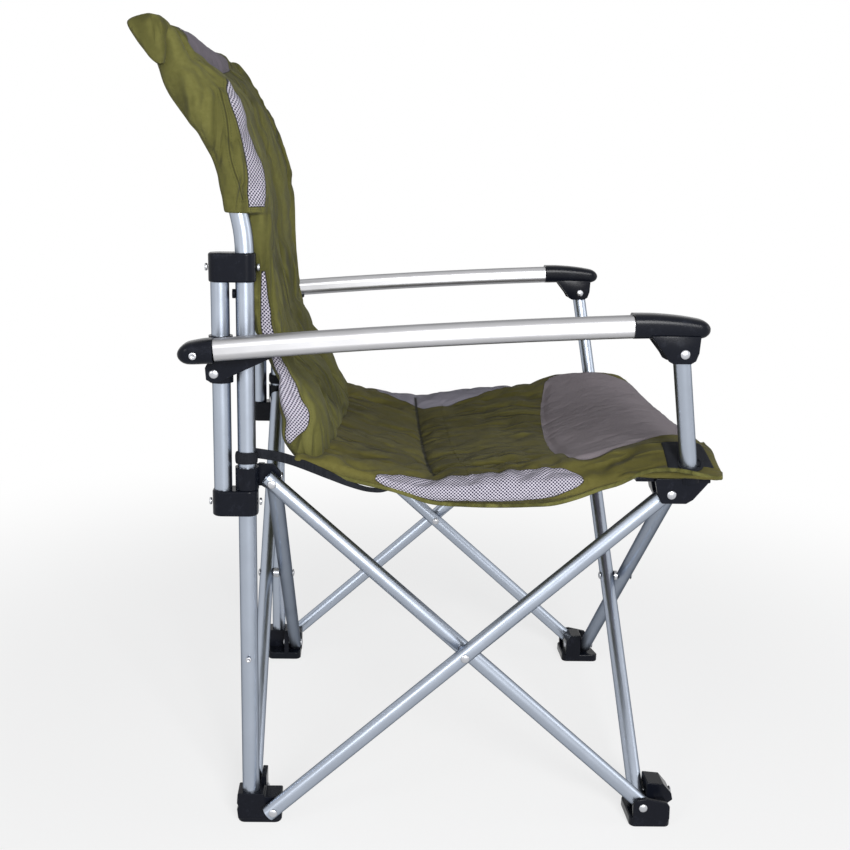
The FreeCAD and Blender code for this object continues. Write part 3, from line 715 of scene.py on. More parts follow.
    @staticmethod
    def read(desk: Desk, axes: dict[Axis, Socket], axis: Axis, mirrored: bool) -> Socket:
        """The rest place along an axis, or its distance from the middle plane."""
        return desk.math("ABSOLUTE", axes[axis]) if mirrored else axes[axis]

    def mask(self, desk: Desk, axes: dict[Axis, Socket], patch: Patch) -> tuple[Socket, Socket]:
        """Where a patch is and where it ends.

        Args:
            desk: the material's nodes.
            axes: the rest place along each axis, in millimetres.
            patch: the patch.
        Returns:
            The mask, and the distance to the nearest edge in millimetres.
        """
        inside = None
        for limit in patch.limits:
            value = self.read(desk, axes, limit.across, limit.mirrored)
            outputs = [pair[1] for pair in (*limit.low, *limit.high)]
            reach = (min(outputs) - 1, max(outputs) + 1)
            low = desk.curve(axes[limit.along], limit.low, reach)
            high = desk.curve(axes[limit.along], limit.high, reach)
            ends = (min(pair[0] for pair in limit.low), max(pair[0] for pair in limit.low))
            for depth in (desk.math("SUBTRACT", value, low), desk.math("SUBTRACT", high, value),
                          desk.math("SUBTRACT", axes[limit.along], ends[0]),
                          desk.math("SUBTRACT", ends[1], axes[limit.along])):
                inside = depth if inside is None else desk.math("MINIMUM", inside, depth)
        return desk.ramp(inside, -0.4, 0.4), desk.math("ABSOLUTE", inside)

    def distance(self, desk: Desk, axes: dict[Axis, Socket], seam: Seam) -> Socket:
        """The distance to a seam's line.

        Args:
            desk: the material's nodes.
            axes: the rest place along each axis, in millimetres.
            seam: the seam.
        Returns:
            The distance, in millimetres.
        """
        value = self.read(desk, axes, seam.across, seam.mirrored)
        outputs = [pair[1] for pair in seam.line]
        line = desk.curve(axes[seam.along], seam.line, (min(outputs) - 1, max(outputs) + 1))
        low, high = min(seam.line)[0], max(seam.line)[0]
        past = desk.math("MAXIMUM", desk.math("SUBTRACT", low, axes[seam.along]),
                         desk.math("SUBTRACT", axes[seam.along], high))
        away = desk.math("ABSOLUTE", desk.math("SUBTRACT", value, line))
        return desk.math("MAXIMUM", away, past)

    def stitched(self, desk: Desk, edge: Socket, along: Socket, colour: Socket, height: Socket,
                 width: float = 1.1, dark: float = 0.6) -> tuple[Socket, Socket]:
        """Adds a seam's shadow line and a row of stitches beside it.

        Args:
            desk: the material's nodes.
            edge: the distance to the seam, in millimetres.
            along: the cloth's second direction, in metres.
            colour: the colour without the seam.
            height: the relief without the seam.
            width: how wide the seam's shadow is, in millimetres.
            dark: how dark it is, 0 to 1.
        Returns:
            The colour and the relief with the seam.
        """
        groove = desk.ramp(edge, 0.2 * width, width, 1.0, 0.0)
        beside = desk.math("ABSOLUTE", desk.math("SUBTRACT", edge, self.stitch_gap))
        row = desk.ramp(beside, 0.25, 0.6, 1.0, 0.0)
        beat = desk.math("SINE", desk.math("MULTIPLY", along, 2 * math.pi / self.stitch_length))
        stitch = desk.math("MULTIPLY", row, desk.ramp(beat, -0.3, 0.1))
        colour = desk.mix(desk.math("MULTIPLY", groove, dark), colour, rgb(*self.groove))
        colour = desk.mix(desk.math("MULTIPLY", stitch, 0.4), colour, rgb(*self.thread))
        height = desk.math("SUBTRACT", height, desk.math("MULTIPLY", groove, 0.8))
        return colour, desk.math("SUBTRACT", height, desk.math("MULTIPLY", row, 0.25))


# ---- meshes

def mode(name: str) -> None:
    """Switches the active object's mode."""
    bpy.ops.object.mode_set(mode=name)


def clean_start() -> None:
    """Leaves edit mode and deselects everything."""
    if bpy.context.object and bpy.context.object.mode != "OBJECT":
        mode("OBJECT")
    bpy.ops.object.select_all(action="DESELECT")


def pick(piece: Piece) -> None:
    """Makes one object the selected and active one.

    Args:
        piece: the object.
    """
    clean_start()
    piece.select_set(True)
    bpy.context.view_layer.objects.active = piece


def link(name: str, mesh: bpy.types.Mesh) -> Piece:
    """A smooth piece of a mesh, with its faces turned outwards.

    Args:
        name: the piece's name.
        mesh: its closed mesh.
    Returns:
        The piece.
    """
    piece = bpy.data.objects.new(name, mesh)
    bpy.context.scene.collection.objects.link(piece)
    turn_out(piece)
    bpy.ops.object.shade_smooth()
    return piece


def turn_out(piece: Piece) -> None:
    """Makes all faces of a closed piece point outwards.

    Args:
        piece: the piece, which is left selected.
    """
    pick(piece)
    mode("EDIT")
    bpy.ops.mesh.select_all(action="SELECT")
    bpy.ops.mesh.normals_make_consistent(inside=False)
    mode("OBJECT")


def quilted_skin(name: str, loops: Array, datums: tuple[int, ...] = (0,),
                  start: float = 0.0) -> Piece:
    """A closed skin from rows of closed rings, with its ends sewn shut.

    Args:
        name: the piece's name.
        loops: (rows, count, 3) places in metres; count is even, and point i lies opposite
            point count - 1 - i.
        datums: columns that the UV map's first axis is measured from; a face uses the nearest.
        start: the first row's place on the UV map's second axis, in metres.
    Returns:
        The object, with the UV map "cloth" in metres and the attribute "rest".
    """
    rows, count, _ = loops.shape
    faces = []
    for row in range(rows - 1):
        for index in range(count):
            after = (index + 1) % count
            faces.append((row * count + index, row * count + after,
                          (row + 1) * count + after, (row + 1) * count + index))
    half = count // 2
    for row, flip in ((0, True), (rows - 1, False)):
        base = row * count
        for index in range(half - 1):
            quad = (base + index, base + index + 1, base + count - 2 - index, base + count - 1 - index)
            faces.append(quad[::-1] if flip else quad)
    mesh = bpy.data.meshes.new(name)
    mesh.from_pydata(loops.reshape(-1, 3).tolist(), [], faces)
    mesh.update()
    around = np.linalg.norm(np.roll(loops, -1, axis=1) - loops, axis=2)
    width = np.concatenate([np.zeros((rows, 1)), np.cumsum(around, axis=1)], axis=1)
    steps = np.linalg.norm(np.diff(loops, axis=0), axis=2).mean(axis=1)
    length = start + np.concatenate([[0.0], np.cumsum(steps)])
    chart = mesh.uv_layers.new(name="cloth")
    values = np.zeros((len(mesh.loops), 2))

    def onwards(column: int, datum: int) -> int:
        """How many columns lie between a datum and a column, the shorter way round."""
        return (column - datum + half) % count - half

    for polygon in mesh.polygons:
        corners = [mesh.loops[i].vertex_index for i in polygon.loop_indices]
        first = corners[0] % count
        datum = min(datums, key=lambda column: abs(onwards(first, column)))
        lead = onwards(first, datum)
        for loop_index, corner in zip(polygon.loop_indices, corners):
            row, index = divmod(corner, count)
            column = datum + lead + onwards(index, first)
            whole_turns, column = divmod(column, count)
            value = width[row, column] + whole_turns * width[row, count] - width[row, datum]
            values[loop_index] = (value, length[row])
    chart.data.foreach_set("uv", values.ravel())
    piece = link(name, mesh)
    mark_rest(piece)
    return piece


def soften(piece: Piece, width: float) -> None:
    """Bevels the sharp edges of a piece.

    Args:
        piece: the piece, which is the active one.
        width: the bevel's width, in millimetres.
    """
    made = piece.modifiers.new("soft", "BEVEL")
    made.width = width * MM
    made.segments = 2
    made.limit_method = "ANGLE"
    bpy.ops.object.modifier_apply(modifier=made.name)


def mark_rest(piece: Piece) -> None:
    """Stores each vertex's place as the attribute "rest".

    Args:
        piece: the piece.
    """
    mesh = piece.data
    rest = mesh.attributes.get("rest") or mesh.attributes.new("rest", "FLOAT_VECTOR", "POINT")
    rest.data.foreach_set("vector", places(piece).astype(np.float32).ravel())


def places(piece: Piece) -> Array:
    """The places of a mesh's vertices.

    Args:
        piece: the piece.
    Returns:
        One row for each vertex, (n, 3), in metres.
    """
    values = np.zeros(len(piece.data.vertices) * 3)
    piece.data.vertices.foreach_get("co", values)
    return values.reshape(-1, 3)


def put(piece: Piece, points: Array) -> None:
    """Moves the mesh's vertices."""
    piece.data.vertices.foreach_set("co", points.astype(np.float32).ravel())
    piece.data.update()


def push(piece: Piece, depth: Array) -> None:
    """Moves a mesh's vertices outwards, each by its depth in millimetres."""
    put(piece, places(piece) + outwards(piece) * (depth * MM)[:, None])


def outwards(piece: Piece) -> Array:
    """The vertices' normals.

    Args:
        piece: the piece.
    Returns:
        One row for each vertex, (n, 3).
    """
    values = np.zeros(len(piece.data.vertices) * 3)
    piece.data.vertices.foreach_get("normal", values)
    return values.reshape(-1, 3)


@dataclass(frozen=True)
class Filling:
    """How a padded piece swells: a cloth simulation with pressure and sewn lines held.

    The cap is the furthest that a point moves, in metres; slack is the cloth's spare length.
    """

    pressure: float
    slack: float
    cap: float
    bending: float = 0.6
    tension: float = 18.0
    compression: float = 10.0
    shear: float = 6.0
    mass: float = 0.35
    quality: int = 6
    frames: int = 20
    quick_share: float = 0.35

    def swell(self, piece: Piece, held: Array) -> None:
        """Runs the simulation and writes its capped result to the mesh.

        Args:
            piece: a closed skin.
            held: 0 to 1 for each vertex, 1 where the cloth is sewn down.
        """
        start = places(piece)
        group = piece.vertex_groups.new(name="sewn")
        for index, weight in enumerate(held):
            group.add([index], float(weight), "REPLACE")
        cloth = piece.modifiers.new("swell", "CLOTH")
        sheet = cloth.settings
        sheet.quality = self.quality
        sheet.mass = self.mass
        sheet.tension_stiffness = self.tension
        sheet.compression_stiffness = self.compression
        sheet.shear_stiffness = self.shear
        sheet.bending_stiffness = self.bending
        sheet.vertex_group_mass = "sewn"
        sheet.shrink_min = -self.slack
        sheet.use_pressure = True
        sheet.uniform_pressure_force = self.pressure
        sheet.effector_weights.gravity = 0
        cloth.collision_settings.use_collision = False
        cloth.point_cache.frame_start = 1
        cloth.point_cache.frame_end = self.frames
        scene = bpy.context.scene
        for number in range(1, self.frames + 1):
            scene.frame_set(number)
        evaluated = piece.evaluated_get(bpy.context.evaluated_depsgraph_get())
        result = np.zeros(len(start) * 3)
        evaluated.data.vertices.foreach_get("co", result)
        moved = result.reshape(-1, 3) - start
        piece.modifiers.remove(cloth)
        piece.vertex_groups.clear()
        scene.frame_set(1)
        distance = np.linalg.norm(moved, axis=1)
        share = self.cap * np.tanh(distance / self.cap) / np.maximum(distance, 1e-9)
        put(piece, start + moved * share[:, None])


def finer(piece: Piece) -> None:
    """Adds one live subdivision.

    Args:
        piece: the piece.
    """
    made = piece.modifiers.new("smooth", "SUBSURF")
    made.levels = made.render_levels = 1


def report(piece: Piece) -> None:
    """Logs a finished piece."""
    LOG.info("%s: %d faces", piece.name, len(piece.data.polygons))


def dress(piece: Piece, material: Finish) -> None:
    """Gives a piece one material."""
    piece.data.materials.clear()
    piece.data.materials.append(material)


# ---- the back

@dataclass
class Backrest:
    """The padded back: a middle pad between two side bolsters that wrap the back tubes."""

    right_front: Table = (
        (470, 176), (490, 178), (505, 177), (520, 178), (545, 184), (578, 207), (620, 223), (675, 231),
        (709, 236), (744, 239), (777, 240), (808, 245), (830, 248), (865, 260), (890, 268), (905, 274),
        (924, 288), (935, 303), (945, 318), (965, 333), (984, 349))
    left_front: Table = (
        (470, 146), (490, 158), (505, 167), (520, 174), (545, 182), (578, 207), (620, 223), (675, 231),
        (709, 236), (744, 239), (777, 239), (808, 243), (830, 247), (865, 259), (905, 275), (918, 282),
        (943, 297), (966, 313), (984, 326))
    side_back: Table = (
        (470, 204), (491, 217), (505, 223), (526, 226), (558, 229), (585, 235), (610, 243), (638, 255),
        (675, 261), (710, 262), (744, 266), (777, 268))
    pad_back: Table = (
        (470, 200), (490, 210), (520, 216), (560, 224), (620, 246), (675, 258), (740, 266), (800, 276),
        (850, 298), (900, 326), (940, 351), (965, 369), (998, 391))
    tube: Table = (
        (470, 268.5), (700, 268.5), (750, 270), (800, 280), (838, 290), (880, 309), (920, 328.4),
        (968, 352), (990, 363))
    sleeve_back: Table = (
        (775, 291), (790, 293.5), (808, 298), (827, 300), (839, 308), (865, 324), (893, 342), (921, 357),
        (936, 362), (960, 374), (984, 382))
    hollow: Table = (
        (470, -14), (500, -4), (530, 6), (560, 14), (620, 20), (700, 26), (800, 29), (880, 28), (915, 22),
        (935, 20), (960, 17), (998, 14))
    hem: float = 775.5
    top: float = 988.0
    crown: float = 9.0
    crown_from: float = 930.0
    bottom: float = 472.0
    pad_reach: float = 240.0
    tube_reach: float = 268.0
    tube_clear: float = 13.2
    step: float = 7.0
    folded_keep: float = 0.26
    least_depth: float = 14.0
    fold_depths: Triple = (7.0, 3.0, 1.4)
    channel_depth: float = 6.0
    channel_reach: float = 104.0
    channel_spread: float = 14.0
    channel_run: Pair = (480.0, 930.0)
    bolster_columns: int = 56
    bolster_anchor: float = 248.0
    bolster_middle: float = 728.0
    bolster_half: float = 252.0
    net_column: int = 17
    drawn_run: Pair = (770.0, 800.0)
    gathered_run: Pair = (850.0, 915.0)
    slim_run: Pair = (925.0, 950.0)
    pucker: Pair = (308.0, 922.0)
    fan_folds: int = 9
    fan_reach: float = 42.0
    fan_depth: float = 2.6
    dent_reach: float = 9.0
    dent_depth: float = 6.0
    pocket_front: Table = (
        (939, 354), (948, 352), (960, 350.5), (972, 349), (980, 348.5), (986, 353), (991, 359))
    pocket_back: Table = (
        (939, 361), (943, 367.5), (955, 377), (967, 386), (976, 392), (981, 393), (985, 392.5),
        (988, 386), (991, 376))
    pocket_columns: int = 36
    pocket_half_width: float = 20.0
    pad_filling: Filling = Filling(3.2, 0.03, 11 * MM)
    bolster_filling: Filling = Filling(2.0, 0.015, 4.5 * MM, 1.2)
    pocket_filling: Filling = Filling(2.0, 0.015, 2.5 * MM, 1.2)

    def front_at(self, side: Side, height: float) -> float:
        """The front edge beside one bolster, behind the crossing."""
        return value_at(self.right_front if side is Side.RIGHT else self.left_front, height)

    def build(self, covers: "Covers") -> None:
        """Makes the middle pad, both bolsters and both top pockets.

        Args:
            covers: the cloths.
        """
        self.pad(covers)
        for side in Side:
            self.bolster(side, covers)
            self.pocket(side, covers)

    def pad(self, covers: "Covers") -> None:
        """Makes the middle pad, quilted, with a headrest panel.

        Args:
            covers: the cloths.
        """
        heights = np.linspace(self.bottom, self.top, int((self.top - self.bottom) / self.step) + 1)
        half = int(2 * self.pad_reach / self.step)
        spread = np.linspace(-1, 1, half)
        x = self.pad_reach * spread
        loops = []
        for height in heights:
            right, left = (self.front_at(side, height) for side in Side)
            share = (spread + 1) / 2
            middle = value_at(self.hollow, height) * (1 - spread ** 2)
            front = right + (left - right) * share + middle
            back = value_at(self.pad_back, height) + np.maximum(middle, 0) * 0.6
            back = np.maximum(back, front + self.least_depth)
            centre = (front + back) / 2
            thin = 0.30 + 0.70 * (1 - np.abs(spread) ** 8) ** 0.5
            ends = min(height - self.bottom, self.top - height)
            deep = (back - front) / 2 * thin * rounded_end(ends, 12, 0.45)
            lift = self.crown * (1 - spread ** 2) - 4 * spread ** 2
            level = height + lift * soft_step(height, self.crown_from, self.top)
            loops.append(np.concatenate([row_places(x, centre - deep, level),
                                         row_places(x, centre + deep, level)[::-1]]))
        piece = quilted_skin("back_middle_pad", np.array(loops) * MM, (half // 2, half + half // 2))
        rest = places(piece) / MM
        ahead = outwards(piece)[:, 1] < 0
        seam = self.seam_share(rest)
        upright = crumple(places(piece), (1, 0.1, 0.2), 0.050, 11)
        level = crumple(places(piece), (0.15, 0, 1), 0.085, 12)
        broad = ripple(places(piece), 6, np.array([0.12, 0.3, 0.22]), 13)
        relief = weighted(self.fold_depths, (upright, level, broad)) * (1 - seam)
        depth = relief * ahead - self.channel_depth * seam * ahead
        push(piece, depth)
        border = np.maximum(soft_step(np.abs(rest[:, 0]), self.pad_reach - 16, self.pad_reach - 4),
                            soft_step(rest[:, 2], self.top - 10, self.top + 6))
        border = np.maximum(border, soft_step(-rest[:, 2], -self.bottom - 12, -self.bottom - 3))
        self.pad_filling.swell(piece, np.maximum(border, seam))
        finer(piece)
        dress(piece, covers.back_pad)
        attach(piece, "right_rear_leg")
        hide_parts("back_pad")
        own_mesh(piece)
        report(piece)

    def seam_share(self, rest: Array) -> Array:
        """Where the middle pad is sewn: two channels that spread upwards, and the headrest's lower edge.

        Args:
            rest: the rest places, in millimetres.
        Returns:
            1 on the lines, 0 away from them.
        """
        x, z = np.abs(rest[:, 0]), rest[:, 2]
        low, high = self.channel_run
        channel = x - self.channel_reach - self.channel_spread * (z - low) / (high - low)
        upright = bell(channel, 6.0) * soft_step(-z, -925, -905)
        level = bell(z - Covers.head_line(x), 5.5) * (x < 190)
        return np.clip(upright + level, 0, 1)

    def corners(self, side: Side, height: float) -> Array:
        """The bolster's outline at one height: plain below the hem, round the tube above it.

        Args:
            side: the sitter's side.
            height: the height above the floor, in millimetres.
        Returns:
            Eight corners, each as reach and distance behind the crossing.
        """
        front = self.front_at(side, height)
        back = value_at(self.side_back, height)
        middle = (front + back) / 2
        lower = [(236, front + 6), (247, front - 1), (257, front + 8), (258, middle + 4),
                 (256, back - 4), (246, back + 1), (236, back - 4), (232, middle)]
        tube = value_at(self.tube, height)
        rear = value_at(self.sleeve_back, height)
        between = (front + tube) / 2
        slim = 4.5 * soft_step(height, *self.slim_run)
        upper = [(236, front + 7), (249, front - 1), (263 - slim, front + 9), (275 - slim, between + 3),
                 (284 - slim, tube + 1), (275 - slim, rear - 2), (255, rear - 4), (240, between + 10)]
        share = soft_step(height, self.hem - 1.5, self.hem + 1.5)
        return np.array(lower) * (1 - share) + np.array(upper) * share

    def bolster(self, side: Side, covers: "Covers") -> None:
        """Makes a side bolster with its net strips; above the hem it is a sleeve round the tube.

        Args:
            side: the sitter's side.
            covers: the cloths.
        """
        regular = np.arange(self.bottom + 2, self.top - 3, 6.0)
        near_hem = self.hem + np.array([-3.5, -1.6, -0.6, 0.6, 1.6, 3.5])
        heights = np.sort(np.concatenate([regular[np.abs(regular - self.hem) > 5.5], near_hem]))
        loops = []
        for height in heights:
            ring = ring_through(self.corners(side, height), self.bolster_columns)
            ends = min(height - heights[0], heights[-1] - height)
            anchor = np.array([self.bolster_anchor, ring[:, 1].min() + 3])
            ring = anchor + (ring - anchor) * rounded_end(ends, 9, 0.5)
            loops.append(row_places(side.value * ring[:, 0], ring[:, 1], height))
        piece = quilted_skin(side.word + "_back_bolster", np.array(loops) * MM, (self.net_column,))
        points = places(piece)
        height, behind = points[:, 2] / MM, points[:, 1] / MM - CROSSING_Y
        away = np.hypot(behind - self.pucker[0], height - self.pucker[1])
        turn = np.arctan2(height - self.pucker[1], behind - self.pucker[0])
        fan = np.sin(self.fan_folds * turn + side.value) * bell(away, self.fan_reach) * soft_step(away, 4, 16)
        dent = bell(away, self.dent_reach)
        long = 1.7 * crumple(points, (0.3, 1, 0.24), 0.036, 21 + side.value)
        broad = ripple(points, 6, np.array([0.05, 0.06, 0.14]), 31 + side.value)
        calm = 1 - 0.9 * bell(height - self.hem, 9)
        gathered = soft_step(height, *self.gathered_run)
        below = soft_step(-height, -760, -640)
        depth = (1.2 + 1.4 * gathered + 1.6 * below) * long + (0.6 + 1.0 * gathered) * broad
        depth = depth * calm * (1 - 0.7 * soft_step(height, *self.slim_run))
        depth = depth + self.fan_depth * fan - self.dent_depth * dent
        normal = outwards(piece)
        outer = side.value * normal[:, 0] > -0.2
        drawn_flat = 1 - 0.75 * soft_step(normal[:, 1], 0.45, 0.9) * soft_step(height, *self.drawn_run)
        push(piece, depth * outer * drawn_flat)
        held = np.maximum(bell(height - self.hem, 6), dent)
        from_middle = np.abs(height - self.bolster_middle)
        held = np.maximum(held, soft_step(from_middle, self.bolster_half - 12, self.bolster_half))
        held = np.maximum(held, 0.7 * soft_step(height, 930, 945))
        self.bolster_filling.swell(piece, held)
        self.clear_tube(side, piece)
        finer(piece)
        dress(piece, covers.bolster)
        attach(piece, side.word + "_rear_leg")
        report(piece)

    def clear_tube(self, side: Side, piece: Piece) -> None:
        """Moves points of a sleeve that lie in its tube out of it.

        Args:
            side: the sitter's side.
            piece: the bolster.
        """
        points = places(piece) / MM
        across = side.value * points[:, 0] - self.tube_reach
        along = points[:, 1] - CROSSING_Y - line_through(self.tube)(points[:, 2])
        stretch = self.tube_clear * (1 + 0.12 * soft_step(points[:, 2], 790, 850))
        distance = np.hypot(across / self.tube_clear, along / stretch)
        inside = (distance < 1) & (points[:, 2] > self.hem)
        grow = np.where(inside, 1 / np.maximum(distance, 0.2), 1.0)
        points[:, 0] += side.value * across * (grow - 1)
        points[:, 1] += along * (grow - 1)
        put(piece, points * MM)

    def pocket(self, side: Side, covers: "Covers") -> None:
        """Makes the folded corner pocket over the end of a back tube.

        Args:
            side: the sitter's side.
            covers: the cloths.
        """
        low, top = self.pocket_front[0][0], self.pocket_front[-1][0]
        heights = np.concatenate([[low, low + 1.5, low + 4], np.arange(low + 8, top - 5, 4),
                                  [top - 4, top - 1.5, top]])
        count = self.pocket_columns
        angle = around(count, math.pi / count)
        round_off = (np.abs(np.cos(angle)) ** 5 + np.abs(np.sin(angle)) ** 5) ** -0.2
        loops = []
        for height in heights:
            near, far = value_at(self.pocket_front, height), value_at(self.pocket_back, height)
            wide = self.pocket_half_width - 5 * soft_step(height, 982, 992)
            reach = self.tube_reach + wide * np.cos(angle) * round_off
            behind = (near + far) / 2 + (far - near) / 2 * np.sin(angle) * round_off
            loops.append(row_places(side.value * reach, behind, height))
        piece = quilted_skin(side.word + "_corner_pocket", np.array(loops) * MM)
        points = places(piece)
        crease = folds(points, (0.2, 0.7, -0.7), 0.019, 41 + side.value) - 0.6
        lump = ripple(points, 6, np.array([0.03, 0.03, 0.03]), 43 + side.value)
        push(piece, 1.1 * crease + 0.6 * lump)
        self.pocket_filling.swell(piece, np.zeros(len(points)))
        finer(piece)
        dress(piece, covers.plain)
        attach(piece, side.word + "_rear_leg")
        report(piece)


# ---- the seat

@dataclass
class SeatPad:
    """The padded seat, made in one and cut where it folds; its front corners go round the posts."""

    edge_top: Table = (
        (213, 491), (170, 484), (112, 469), (67, 461), (40, 459), (0, 464), (-60, 472), (-99, 474),
        (-135, 474), (-160, 476), (-194, 481), (-213, 483), (-237, 484.5), (-285, 483), (-305, 481))
    crown: Table = (
        (213, 489), (112, 467), (67, 459), (40, 457.5), (0, 462), (-60, 471), (-113, 479), (-160, 489),
        (-194, 499), (-237, 507), (-285, 502), (-305, 494))
    middle: Table = (
        (213, 482), (170, 468), (112, 448), (67, 438), (40, 435), (0, 438), (-60, 446), (-113, 455),
        (-145, 466), (-194, 485), (-237, 497), (-285, 495), (-305, 489))
    edge_low: Table = (
        (213, 476), (144, 457), (82, 443), (48, 432), (3, 429), (-74, 430), (-103, 432), (-135, 442),
        (-155, 451), (-185, 465), (-196, 475.5), (-306, 476))
    reach: Table = (
        (213, 268), (144, 276), (40, 284), (-60, 287), (-135, 288), (-170, 293), (-200, 305), (-225, 315),
        (-250, 320), (-280, 322), (-291, 319), (-297, 308), (-301, 288), (-305, 262))
    crown_share: float = 0.82
    far_crown_drawn: float = 0.14
    front: float = -306.0
    rear: float = 211.0
    fold_at: float = 0.0
    lip: float = 2.5
    cross_seam: float = 40.0
    long_seam: float = 196.0
    seam_depth: float = 4.0
    corner_run: Pair = (222.0, 240.0)
    crest_run: Pair = (205.0, 235.0)
    under_reach: float = 258.0
    spread_turn: float = 0.86
    fold_depths: tuple[float, ...] = (6.0, 4.5, 1.2, 0.5)
    thickness: float = 24.0
    step: float = 6.5
    columns: int = 92
    folded_keep: float = 0.14
    folded_middle: float = -0.212
    filling: Filling = Filling(3.0, 0.025, 8 * MM)

    def build(self, covers: "Covers") -> None:
        """Makes the pad, swells it, cuts it in two at the fold and binds its edges.

        Args:
            covers: the cloths.
        """
        piece = self.whole()
        rest = places(piece) / MM
        upper = outwards(piece)[:, 2] > 0.2
        seam = self.seam_share(rest) * upper
        lengthwise = crumple(places(piece), (1, 0.35, 0), 0.052, 5)
        across = crumple(places(piece), (0.25, 1, 0), 0.064, 8)
        broad = ripple(places(piece), 6, np.array([0.13, 0.11, 0.3]), 6)
        fine = ripple(places(piece), 6, np.array([0.05, 0.035, 0.3]), 7)
        loose = self.olive_share(rest)
        inner = soft_step(-np.abs(rest[:, 0]), -262, -205)
        corner = soft_step(np.abs(rest[:, 0]), *self.corner_run)
        corner = corner * soft_step(-rest[:, 1], -row_y(-185), -row_y(-200))
        far_crest = soft_step(rest[:, 0], *self.crest_run)
        depth = weighted(self.fold_depths, (lengthwise, across, broad, fine)) * (1 - seam) * loose * upper
        depth = depth * (1 - 0.8 * corner) * (1 - 0.6 * far_crest)
        depth = depth + 0.6 * fine * ~upper - self.seam_depth * seam * upper * (0.25 + 0.75 * inner)
        push(piece, depth)
        share = np.abs(rest[:, 0]) / line_through(self.reach)(rest[:, 1] - CROSSING_Y)
        border = soft_step(share, 0.965, 0.995)
        border = np.maximum(border, soft_step(-rest[:, 1], -row_y(self.front) - 12, -row_y(self.front) - 3))
        border = np.maximum(border, soft_step(rest[:, 1], row_y(self.rear) - 12, row_y(self.rear) - 3))
        firm = 0.9 * (1 - loose) * upper
        held = np.maximum.reduce([border, seam, corner, firm])
        self.filling.swell(piece, held)
        for body, ahead in (("seat_front", True), ("seat_rear", False)):
            part = self.half(piece, body + "_cover", ahead)
            dress(part, covers.seat)
            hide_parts("seat_front_half" if ahead else "seat_rear_half")
            self.attach(part, body)
            for side in Side:
                self.attach(self.binding(side, ahead, covers), body)
        bpy.data.objects.remove(piece)

    def attach(self, piece: Piece, body: str) -> None:
        """Makes a piece move with half of the seat.

        Args:
            piece: the piece.
            body: the half's body.
        """
        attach(piece, body)
        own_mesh(piece)
        report(piece)

    def height_at(self, reach: Array, station: float) -> Array:
        """The top surface before it is quilted, at reaches along one station.

        Args:
            reach: signed distances from the middle plane, in millimetres.
            station: the distance behind the crossing, in millimetres.
        Returns:
            The heights, in millimetres.
        """
        wide, edge, crown, low = (value_at(table, station)
                                  for table in (self.reach, self.edge_top, self.crown, self.middle))
        share = np.abs(reach) / wide
        drawn_in = self.far_crown_drawn * soft_step(-station, 190, 232)
        at_crown = self.crown_share - drawn_in * (np.asarray(reach) > 0)
        inner = low + (crown - low) * np.clip(share / at_crown, 0, 1) ** 2
        return inner + (edge - crown) * soft_step(share, at_crown, 1.0)

    def stations(self) -> Array:
        """The rows from the rear to the front; one is at the fold and the next just ahead of it.

        Returns:
            Distances behind the crossing, in millimetres.
        """
        rows = np.linspace(self.rear, self.front, int((self.rear - self.front) / self.step) + 1)
        at_fold = int(np.argmin(np.abs(rows - self.fold_at)))
        rows[at_fold] = self.fold_at
        return np.insert(rows, at_fold + 1, self.fold_at - self.lip)

    def whole(self) -> Piece:
        """Makes the closed skin of the whole seat.

        Returns:
            The piece, which is cut into halves and then removed.
        """
        turn = np.linspace(-1, 1, self.columns) * math.pi / 2 * self.spread_turn
        spread = np.sin(turn) / math.sin(math.pi / 2 * self.spread_turn)
        loops = []
        for station in self.stations():
            x = value_at(self.reach, station) * spread
            low = value_at(self.edge_low, station)
            upper = self.height_at(x, station)
            inside = np.clip(1 - (np.abs(x) / self.under_reach) ** 2, 0, 1)
            under = np.minimum(low * (1 - inside) + (upper - self.thickness) * inside, upper - 10)
            rounded = 0.35 + 0.65 * (1 - np.abs(spread) ** 14) ** 0.5
            ends = min(self.rear - station, station - self.front)
            middle = (upper + under) / 2
            deep = (upper - under) / 2 * rounded * rounded_end(ends, 9, 0.55)
            loops.append(np.concatenate([row_places(x, station, middle + deep),
                                         row_places(x, station, middle - deep)[::-1]]))
        return quilted_skin("seat_whole", np.array(loops) * MM, (0, self.columns))

    def seam_share(self, rest: Array) -> Array:
        """Where the seat is sewn: across it, along its sides and round the grey patch.

        Args:
            rest: the rest places, in millimetres.
        Returns:
            1 on the lines, 0 away from them.
        """
        x, y = np.abs(rest[:, 0]), rest[:, 1] - CROSSING_Y
        cross = bell(y - self.cross_seam, 4.0) * soft_step(-x, -262, -215)
        long = bell(x - self.long_seam, 5.5) * (y > -118)
        ahead = y + Covers.grey_skew * rest[:, 0]
        rim = bell(x - line_through(Covers.grey_half_width)(ahead), 5.5) * (ahead < -150)
        back_rim = bell(ahead + 136 + 10 * (x / 200) ** 3, 5.0) * (x < 205)
        return np.clip(cross + long + rim + back_rim, 0, 1)

    @staticmethod
    def olive_share(rest: Array) -> Array:
        """How loose the cloth lies: crumpled where it is olive, taut on the grey patch.

        Args:
            rest: the rest places, in millimetres.
        Returns:
            1 on the olive cloth, 0.15 on the grey one.
        """
        y = rest[:, 1] - CROSSING_Y + Covers.grey_skew * rest[:, 0]
        taut = soft_step(-y, 134, 150) * (np.abs(rest[:, 0]) < line_through(Covers.grey_half_width)(y))
        return 1 - 0.85 * taut

